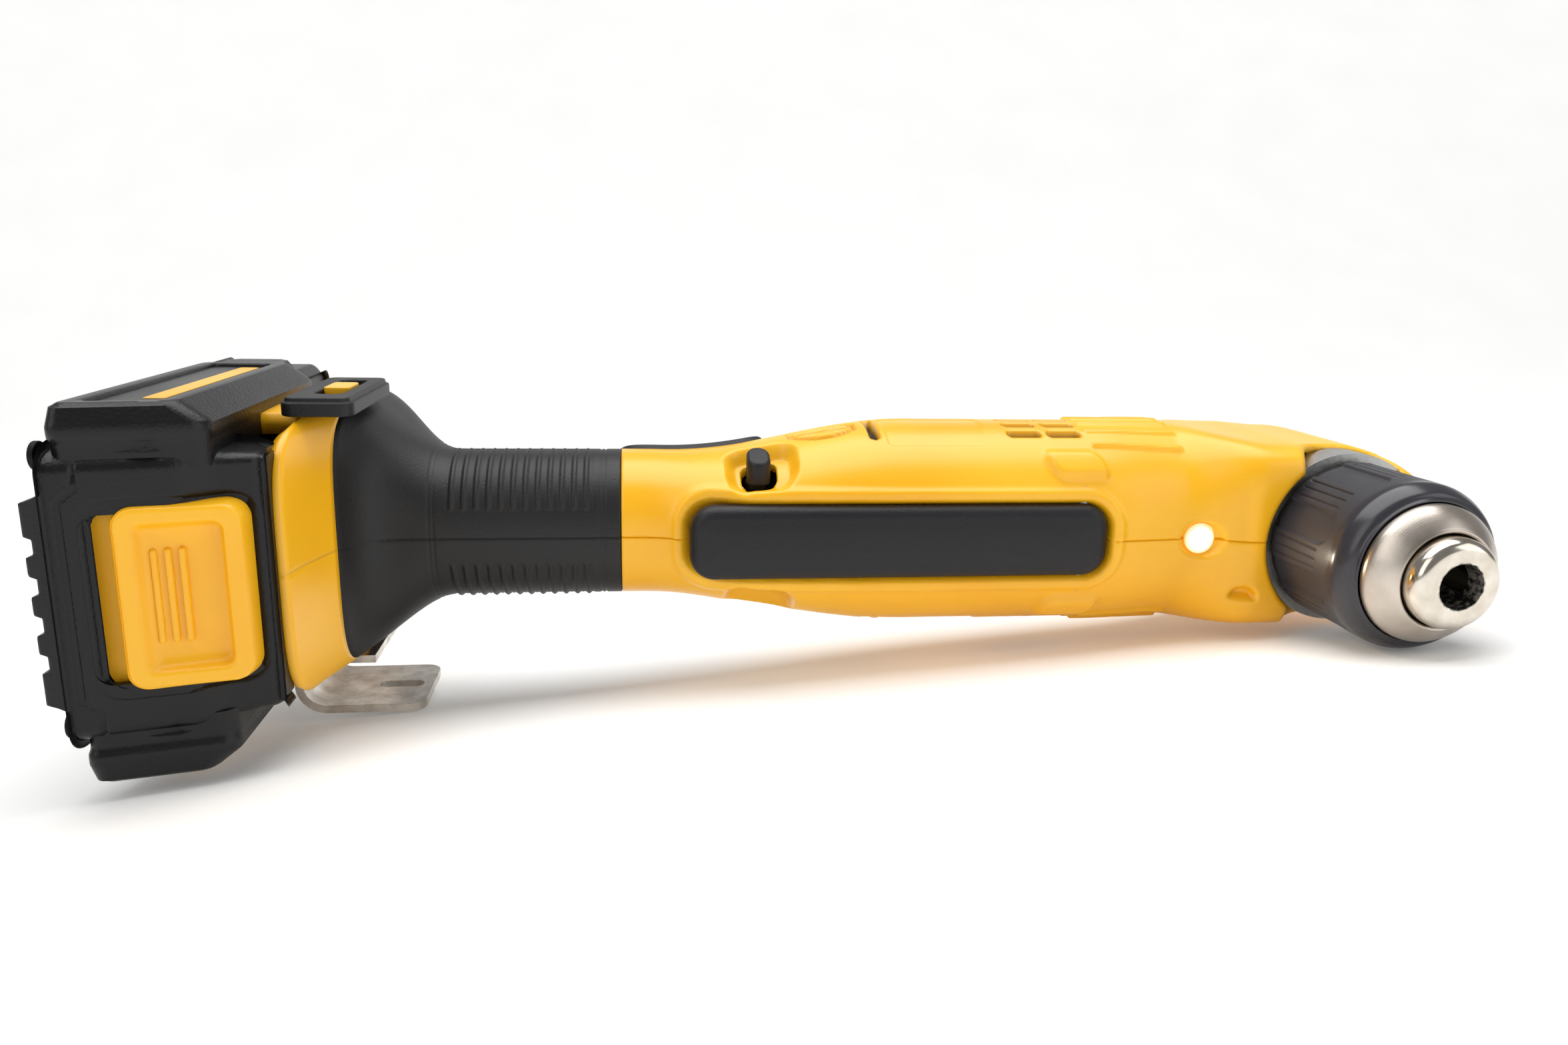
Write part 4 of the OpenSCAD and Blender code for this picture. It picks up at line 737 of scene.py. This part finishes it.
relief = add(tree, "Bump", {}, {"Height": fine.outputs["Value"], "Strength": 0.08, "Distance": 0.0002})
feed(tree, shader, {"Base Color": tone.outputs["Color"], "Metallic": 1.0,
                    "Roughness": shine.outputs["Result"], "Normal": relief.outputs["Normal"]})
cone.data.materials.append(satin_nickel)
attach(cone, "sleeve")
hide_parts("nose_cone")


# Chuck body
# Turned steel with a bright nickel plate, rounded at its nose, and painted dark inside its mouth for the
# shade in the bore.
# Three slanting bores carry the jaws.
bright_nickel, tree, shader, where = new_material("bright_nickel_plate")
parted = add(tree, "SeparateXYZ", {}, {"Vector": where})
from_axis = add(tree, "Math", {"operation": "POWER"}, {0: parted.outputs["X"], 1: 2.0})
from_axis = add(tree, "Math", {"operation": "MULTIPLY_ADD"},
                {0: parted.outputs["Z"], 1: parted.outputs["Z"], 2: from_axis.outputs["Value"]})
from_axis = add(tree, "Math", {"operation": "SQRT"}, {0: from_axis.outputs["Value"]})
# Painted shade: within about 6 mm of the axis the plate turns to a dark non-metal with a ragged edge, for the
# shade in the bore
shade_edge_noise = add(tree, "TexNoise", {}, {"Vector": where, "Scale": 700.0, "Detail": 5.0})
mouth = add(tree, "Math", {"operation": "MULTIPLY_ADD"},
            {0: shade_edge_noise.outputs["Fac"], 1: 0.0012, 2: from_axis.outputs["Value"]})
outside_painted_shade = add(tree, "MapRange", {}, {"Value": mouth.outputs["Value"], "From Min": 0.0058, "From Max": 0.0062})
stain = add(tree, "TexNoise", {}, {"Vector": where, "Scale": 260.0, "Detail": 4.0})
plate = add(tree, "ValToRGB", {}, {"Fac": stain.outputs["Fac"]})
plate.color_ramp.elements[0].position, plate.color_ramp.elements[1].position = 0.35, 0.7
plate.color_ramp.elements[0].color = linear("#c9c0b2")
plate.color_ramp.elements[1].color = linear("#ddd6cb")
tone = add(tree, "MixRGB", {},
           {"Fac": outside_painted_shade.outputs["Result"], "Color1": linear("#120e0b"), "Color2": plate.outputs["Color"]})
shine = add(tree, "MapRange", {}, {"Value": outside_painted_shade.outputs["Result"], "To Min": 0.5, "To Max": 0.17})
feed(tree, shader, {"Base Color": tone.outputs["Color"], "Metallic": outside_painted_shade.outputs["Result"],
                    "Roughness": shine.outputs["Result"]})
softened("chuck_body", 0.25, "output", bright_nickel, 28.0)


# Work light
# A clear polycarbonate dome over a small lamp on its board, between the chuck and the paddle.
# The lamp is on in the picture, so the dome glows a warm white.
clear_dome, tree, shader, where = new_material("lit_clear_polycarbonate")
off = add(tree, "VectorMath", {"operation": "DISTANCE"}, {0: where, 1: (-0.038, 0.042, 0.0)})
core = add(tree, "MapRange", {}, {"Value": off.outputs["Value"], "From Min": 0.0012, "From Max": 0.0036,
                                  "To Min": 4.0, "To Max": 0.55})
frost = add(tree, "TexNoise", {}, {"Vector": where, "Scale": 900.0, "Detail": 2.0})
ring = add(tree, "Math", {"operation": "MULTIPLY_ADD"},
           {0: frost.outputs["Fac"], 1: 0.0008, 2: off.outputs["Value"]})
outer = add(tree, "MapRange", {}, {"Value": ring.outputs["Value"], "From Min": 0.002, "From Max": 0.0042})
warm = add(tree, "ValToRGB", {}, {"Fac": outer.outputs["Result"]})
warm.color_ramp.elements[0].color = linear("#fff6df")
warm.color_ramp.elements[1].color = linear("#ffb648")
feed(tree, shader, {"Base Color": linear("#f4f0e6"), "Roughness": 0.12,
                    "Emission Color": warm.outputs["Color"], "Emission Strength": core.outputs["Result"]})
softened("light_lens", 0.0, "tool", clear_dome, 30.0)
soft_box("lamp_glow", (-0.038, 0.034, 0.0), (-0.02, 0.0, 0.004), (0.004, 0.004), 0.004, (1.0, 0.86, 0.66))


# Direction button
# A bar of black nylon pushed across the tool to change its turning direction.
# Each end is an oblong key, cut to the slope of the body, that stands in a scoop of the housing.
def bar_end(end):
    """Rows of one key from its web outwards: an oblong with a rounded edge, whose face slopes with v."""
    web, slope = loop(3.0, 5.2, 1.8) + [0.0, 5.2], 0.41
    rows = [(web, end * 7.0), (web, end * 8.9), (loop(2.85, 3.7, 2.7), end * 9.0)]
    for t in np.linspace(0.0, np.pi / 2, 8):
        i = 1.0 - math.cos(t)
        ring = loop(2.85 - i, 3.7 - i, 2.7 - i)
        rows.append((ring, end * (14.7 + math.sin(t) + slope * ring[:, 1])))
    ring = loop(0.6, 1.4, 0.5)
    return rows + [(ring, end * (15.75 + slope * ring[:, 1]))]


waist = loop(3.0, 3.4, 1.8) + [0.0, 6.9]
bar = slab("direction_bar", bar_end(-1.0)[::-1] + [(waist, -6.9), (waist, 6.9)] + bar_end(1.0),
           lambda u, v, h: (u - 148.9, v - 12.9, h + 3.5))
bar.data.materials.append(paddle_nylon)
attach(bar, "direction")
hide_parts("direction_button")


# Speed selector
# A curved slide of black nylon in a window across the back of the body, with grooves for the thumb.
# An arm under it moves the shift ring in the gear case.
softened("speed_selector", 0.4, "selector", paddle_nylon)


# Bit holder
# A small black nylon tray screwed to the side of the foot.
# Its yellow clip, of the housing's nylon, springs over a bit and holds it in the tray.
softened("bit_holder", 0.5, "tool", paddle_nylon)
softened("bit_clip", 0.3, "tool", yellow_nylon)


# Belt hook
# Bent from 2 mm steel strip, plated with nickel that has aged to brown-grey patches and fine scratches.
# One screw holds it to the foot, and a slot lightens its plate.
aged_steel, tree, shader, where = new_material("aged_nickel_steel")
stain = add(tree, "TexNoise", {}, {"Vector": where, "Scale": 140.0, "Detail": 6.0, "Roughness": 0.65})
tone = add(tree, "ValToRGB", {}, {"Fac": stain.outputs["Fac"]})
tone.color_ramp.elements[0].position, tone.color_ramp.elements[1].position = 0.36, 0.66
tone.color_ramp.elements[0].color = linear("#b7ada2")
tone.color_ramp.elements[1].color = linear("#e6e1d9")
stretched = add(tree, "Mapping", {}, {"Vector": where, "Scale": (300.0, 4000.0, 300.0)})
scratch = add(tree, "TexNoise", {}, {"Vector": stretched.outputs["Vector"], "Scale": 1.0, "Detail": 3.0})
worn = add(tree, "MapRange", {}, {"Value": stain.outputs["Fac"], "To Min": 0.5, "To Max": 0.24})
relief = add(tree, "Bump", {}, {"Height": scratch.outputs["Fac"], "Strength": 0.12, "Distance": 0.0002})
feed(tree, shader, {"Base Color": tone.outputs["Color"], "Metallic": 1.0, "Roughness": worn.outputs["Result"],
                    "Normal": relief.outputs["Normal"]})
softened("belt_hook", 0.35, "tool", aged_steel)
softened("hook_screw", 0.4, "tool", aged_steel)


# Housing screws
# Ground steel screws with flat heads, sunk in the lower half, that hold the two halves together.
softened("housing_screws", 0.2, "tool", ground_steel)


# Battery pack
# A black case of impact-proof nylon with a leather-like grain and some gloss, closed by a ribbed cover
# and four screws. Its front wall frames the release button and slopes back towards the foot.
pack_back, pack_deep = 43.0, 104.0


def pack_loop(inset, half, front_r, back_r):
    """Points round the pack seen along the tool: its plan, drawn in by inset, with two pairs of corners."""
    back, front = pack_back - inset - back_r, pack_back - pack_deep + inset + front_r
    corners = [(back, half - back_r, back_r), (front, half - front_r, front_r),
               (front, front_r - half, front_r), (back, back_r - half, back_r)]
    return round_trip(corners, 15, (150, 110, 150, 60))


def pack_front(x):
    """How far the pack's sloped front lies from the motor axis at x."""
    return -66.0 + 0.25 * (x + 290.0)


def stretched_front(y, x, back):
    """Stretches the plain plan between its back and the sloped front at x."""
    return back - (back - y) / pack_deep * (back - pack_front(x))


def pack_inset(x, tall):
    """How far the case is drawn in at x: rounded at its deck, and sloping in where it meets the foot."""
    wall = 3.1 * ease((x + 266.0) / 9.0) + 0.6 * ease((x + 258.0) / 5.0)
    wall = wall + 1.1 * np.clip((x + 253.2) / 1.9, 0.0, 1.0) ** 2
    deck = 2.4 * np.clip((x + 266.0) / 2.8, 0.0, 1.0) ** 2
    return tall * wall + (1.0 - tall) * deck - 0.1


def drawn_in(y, z):
    """Presses the case together towards its front: what is over 19 mm out comes in by up to a third."""
    beyond = np.maximum(np.abs(z) - 19.0, 0.0)
    return np.sign(z) * (np.abs(z) - 0.36 * beyond * ease((-14.0 - y) / 24.0))


button_x = -266.6


def button_mouth(u, v):
    """Distance to the opening for the release button, seen from the front."""
    return to_box(u - button_x, v, 13.3, 18.9, 4.6)


case_end = -286.0
plan = pack_loop(0.0, 34.5, 6.5, 5.0)
tall = ease((-41.0 - plan[:, 0]) / 9.0)
t = np.concatenate([np.linspace(0.0, 0.12, 8)[:-1], np.linspace(0.12, 1.0, 90)])
x = case_end + t[:, None] * (-263.2 + 12.0 * tall - case_end)
y, z = (np.broadcast_to(plan[:, k], x.shape) for k in (0, 1))
# Stretch the plain outline to the sloped front, then draw it in
y = stretched_front(y, x, pack_back)
run = np.gradient(plan, axis=0)
run_y, run_z = (run / np.linalg.norm(run, axis=1, keepdims=True)).T
inset = pack_inset(x, tall)
y, z = y - inset * run_z, z + inset * run_y
on_front = -48.0
front_face = y < on_front
faces = quads(*x.shape, True)
middle_x, middle_y, middle_z = (np.reshape(v, -1)[faces].mean(1) for v in (x, y, z))
gone = (button_mouth(middle_x, middle_z) < 0.0) & (middle_y < on_front)
line = np.intersect1d(faces[gone], faces[~gone])
x.reshape(-1)[line], z.reshape(-1)[line] = onto(x.reshape(-1)[line], z.reshape(-1)[line], button_mouth)
# The rounded edge of the opening, and the seam to the cover with its two jogs
sink = np.where(front_face, 1.1 * (1.0 - np.clip(button_mouth(x, z) / 1.8, 0.0, 1.0)) ** 2, 0.0)
jog = 3.0 * ease((np.abs(z) - 19.0) / 5.0) * ease((-40.0 - y) / 5.0)
sink += 0.8 * within(np.abs(x + 283.6 - jog) - 0.22, 0.4)
y = y - sink * run_z
z = drawn_in(y, z + sink * run_y)
case = put_mesh("pack_case_skin", to_frame(x, y, z), faces[~gone][:, ::-1])
thicken(case, 0.0016, True)

# Grained nylon: near black, with cells of about 0.5 mm drawn at 0.7 mm, glossier on the worn high places.
pack_nylon, tree, shader, where = new_material("grained_black_nylon")
wander = add(tree, "TexNoise", {}, {"Vector": where, "Scale": 35.0, "Detail": 4.0})
tone = add(tree, "ValToRGB", {}, {"Fac": wander.outputs["Fac"]})
tone.color_ramp.elements[0].color = linear("#0c0c0e")
tone.color_ramp.elements[1].color = linear("#161618")
cells = add(tree, "TexVoronoi", {"feature": "SMOOTH_F1"},
            {"Vector": where, "Scale": 1400.0, "Smoothness": 0.6})
fine = add(tree, "TexNoise", {}, {"Vector": where, "Scale": 2500.0, "Detail": 2.0})
leather = add(tree, "Math", {"operation": "MULTIPLY_ADD"},
              {0: cells.outputs["Distance"], 1: 0.7, 2: fine.outputs["Fac"]})
relief = add(tree, "Bump", {}, {"Height": leather.outputs["Value"], "Strength": 0.2, "Distance": 0.0003})
sheen = add(tree, "MapRange", {}, {"Value": wander.outputs["Fac"], "To Min": 0.27, "To Max": 0.4})
feed(tree, shader, {"Base Color": tone.outputs["Color"], "Normal": relief.outputs["Normal"],
                    "Roughness": sheen.outputs["Result"], "Specular IOR Level": 0.3})
case.data.materials.append(pack_nylon)
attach(case, "pack")

# The case's inside, deck and rails, from the frame's own node and pressed together in the same way
core = softened("pack_case", 0.0, "pack", pack_nylon)
at = np.empty(3 * len(core.data.vertices))
core.data.vertices.foreach_get("co", at)
x, y, z = (at.reshape(-1, 3) * 1000.0 - [0.0, axis_y, 0.0]).T
under_skin = np.sign(z) * 0.4 * (np.abs(z) > 30.0)
core.data.vertices.foreach_set("co", to_frame(x, y, drawn_in(y, z - under_skin)).reshape(-1))
dark_screw = finish_material("black_oxide_steel", "#17171a", "#2c2c30", 1.0, 0.45, 500.0, 0.1)
softened("pack_screws", 0.2, "pack", dark_screw)


# Cover of the pack
# The pack's bottom, moulded of the same nylon. Five ribs run along it and on over its front edge,
# and its front corners are cut away round the heads of two of the four screws.
def cover_floor(y, z):
    """Where the cover's underside lies along the tool: a floor, less the ribs, and higher at two corners."""
    ribs = np.minimum(np.abs(np.abs(z) - 16.5) - 3.4, np.abs(np.abs(z) - 7.6) - 2.0)
    ribs = np.minimum(ribs, np.abs(z) - 2.0)
    corner = np.maximum(20.6 - np.abs(z), np.abs(y + 58.0) - 12.0)
    return -288.3 - 1.4 * within(ribs, 0.7) + 2.2 * within(corner, 1.6)


# The wall goes down to the floor's edge and turns in with a small radius
cover_back, cover_x, edge = 43.1, -287.0, 0.7
rows = [(0.0, t, 0.0) for t in np.linspace(0.0, 1.0, 8)]
rows += [(edge - edge * math.cos(turn), 1.0, edge * math.sin(turn))
         for turn in np.linspace(0.0, np.pi / 2, 6)[1:]]
cover_rows = []
for i, t, h in rows:
    y, z = pack_loop(i, 34.6 - i, 6.6 - i, 5.1 - i).T
    y = stretched_front(y, cover_x, cover_back)
    z = drawn_in(y, z)
    top = case_end - 0.05
    cover_rows.append(to_frame(top + t * (cover_floor(y, z) + edge - top) - h, y, z))
cover = put_mesh("pack_cover_moulding", np.stack(cover_rows), quads(len(rows), len(y), True))
# The floor is a grid that reaches to the same outline: two corner radii, and straight sides between them
half, fore_y, fore_r, aft_y, aft_r = 33.9, -54.4, 5.9, 37.9, 4.4
turns = np.linspace(0.0, np.pi / 2, 14)
y = np.concatenate([fore_y - fore_r * np.cos(turns), np.linspace(fore_y, aft_y, 60)[1:-1],
                    aft_y + aft_r * np.sin(turns)])
in_front = half - fore_r + fore_r * np.sqrt(1.0 - np.clip((fore_y - y) / fore_r, 0.0, 1.0) ** 2)
behind = half - aft_r + aft_r * np.sqrt(1.0 - np.clip((y - aft_y) / aft_r, 0.0, 1.0) ** 2)
reach = np.minimum(in_front, behind)
y, across = np.meshgrid(stretched_front(y, cover_x, cover_back), np.linspace(-1.0, 1.0, 301), indexing="ij")
z = drawn_in(y, across * reach[:, None])
floor_plate = put_mesh("pack_cover_floor", to_frame(cover_floor(y, z), y, z), quads(*z.shape)[:, ::-1])
for piece in (cover, floor_plate):
    piece.data.materials.append(pack_nylon)
    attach(piece, "pack")
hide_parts("pack_cover")


# Side panels of the pack
# A tall bar along each side of the case, over a narrow neck, chamfered towards the foot, with a shallow
# recess along its top. The recess has a strip of yellow film without any print.
panel_steps = (10, 40)
# Half sizes, corner radius, shift along the tool and height of each row, from inside the case outwards
panel_rows = [(13.0, 37.2, 3.0, 0.0, 25.0), (13.0, 37.2, 3.0, 0.0, 29.6), (13.05, 37.4, 3.1, 0.0, 30.4),
              (13.25, 38.0, 3.3, 0.0, 31.2), (13.3, 38.1, 3.4, 0.0, 32.0), (13.3, 38.1, 3.4, 0.0, 33.2),
              (13.0, 37.9, 3.3, -0.2, 33.8), (10.8, 37.2, 3.0, -1.8, 36.8)]
for turn in np.linspace(0.0, np.pi / 2, 6)[1:]:
    i = 0.8 * math.sin(turn)
    panel_rows.append((10.6 - i, 37.0 - i, 3.0 - 0.5 * i, -1.8, 36.9 + 0.6 * math.sin(turn)))
panel_rows += [(7.0, 33.6, 2.2, -1.8, 37.5), (6.7, 33.3, 2.0, -1.8, 37.3), (6.6, 33.2, 1.9, -1.8, 36.8),
               (1.0, 28.0, 0.5, -1.8, 36.8)]
rows = [(loop(a, b, r, *panel_steps) + [shift, 0.0], h) for a, b, r, shift, h in panel_rows]
for part, side in (("upper", 1.0), ("lower", -1.0)):
    panel = slab("pack_panel_" + part, rows,
                 lambda u, v, h: (u - 271.75, v - 23.2 + 0.25 * u * np.clip(-v / 38.0, 0.0, 1.0), side * h))
    strip = slab("film_strip_" + part, rounded(2.1, 28.0, 0.6, 36.7, 36.92, 0.1),
                 lambda u, v, h: (u - 271.0, v - 21.0, side * h))
    finishes = ((panel, pack_nylon, "black_plastic"), (strip, yellow_nylon, "yellow_housing"))
    for piece, material, slot in finishes:
        piece.data.materials.append(material)
        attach(piece, "pack")


# Release button
# A yellow nylon slide in the front of the pack, pressed down by a thumb to free the pack from the foot.
# A raised pad stands on a base plate that runs under the frame, and its scoop has three ribs for hold.
# Half sizes, corner radius, shift along the tool and height of each row, from the base to the scoop
button_rows = [(13.0, 18.5, 4.2, 0.0, -5.0), (13.0, 18.5, 4.2, 0.0, -1.7), (11.9, 18.5, 4.0, 1.1, -1.6),
               (11.2, 18.4, 3.8, 1.7, -0.9), (10.8, 18.1, 3.6, 2.0, 1.4)]
for turn in np.linspace(0.0, np.pi / 2, 7)[1:]:
    i = 1.1 * (1.0 - math.cos(turn))
    button_rows.append((10.7 - i, 18.0 - i, 3.5 - 0.6 * i, 2.0, 1.6 + 0.9 * math.sin(turn)))
scoop = ((2.5, 2.5), (2.9, 2.4), (3.3, 1.95), (3.6, 1.3), (4.0, 0.5), (4.7, -0.1), (6.0, -0.4), (9.0, -0.5))
for i, h in scoop:
    button_rows.append((10.7 - i, 18.0 - i, max(3.5 - 0.5 * i, 0.4), 1.9, h))


def on_pack_front(x, v, h):
    """A point on the pack's sloped front, at height h over a plane 1.2 mm under it."""
    return x, pack_front(x) + 1.2 - h, v


button = slab("release_moulding", [(loop(a, b, r) + [shift, 0.0], h) for a, b, r, shift, h in button_rows],
              lambda u, v, h: on_pack_front(u + button_x, v, h - 0.05 * np.where(h < 1.9, u, 0.0)))
ribs = [slab("release_rib_" + name, rounded(0.6, 9.5, 0.55, -0.9, 0.5, 0.55),
             lambda u, v, h: on_pack_front(u - 269.8 + 2.4 * i, v, h)) for i, name in enumerate("abc")]
for piece in [button] + ribs:
    piece.data.materials.append(yellow_nylon)
    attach(piece, "release")
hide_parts("release_button")
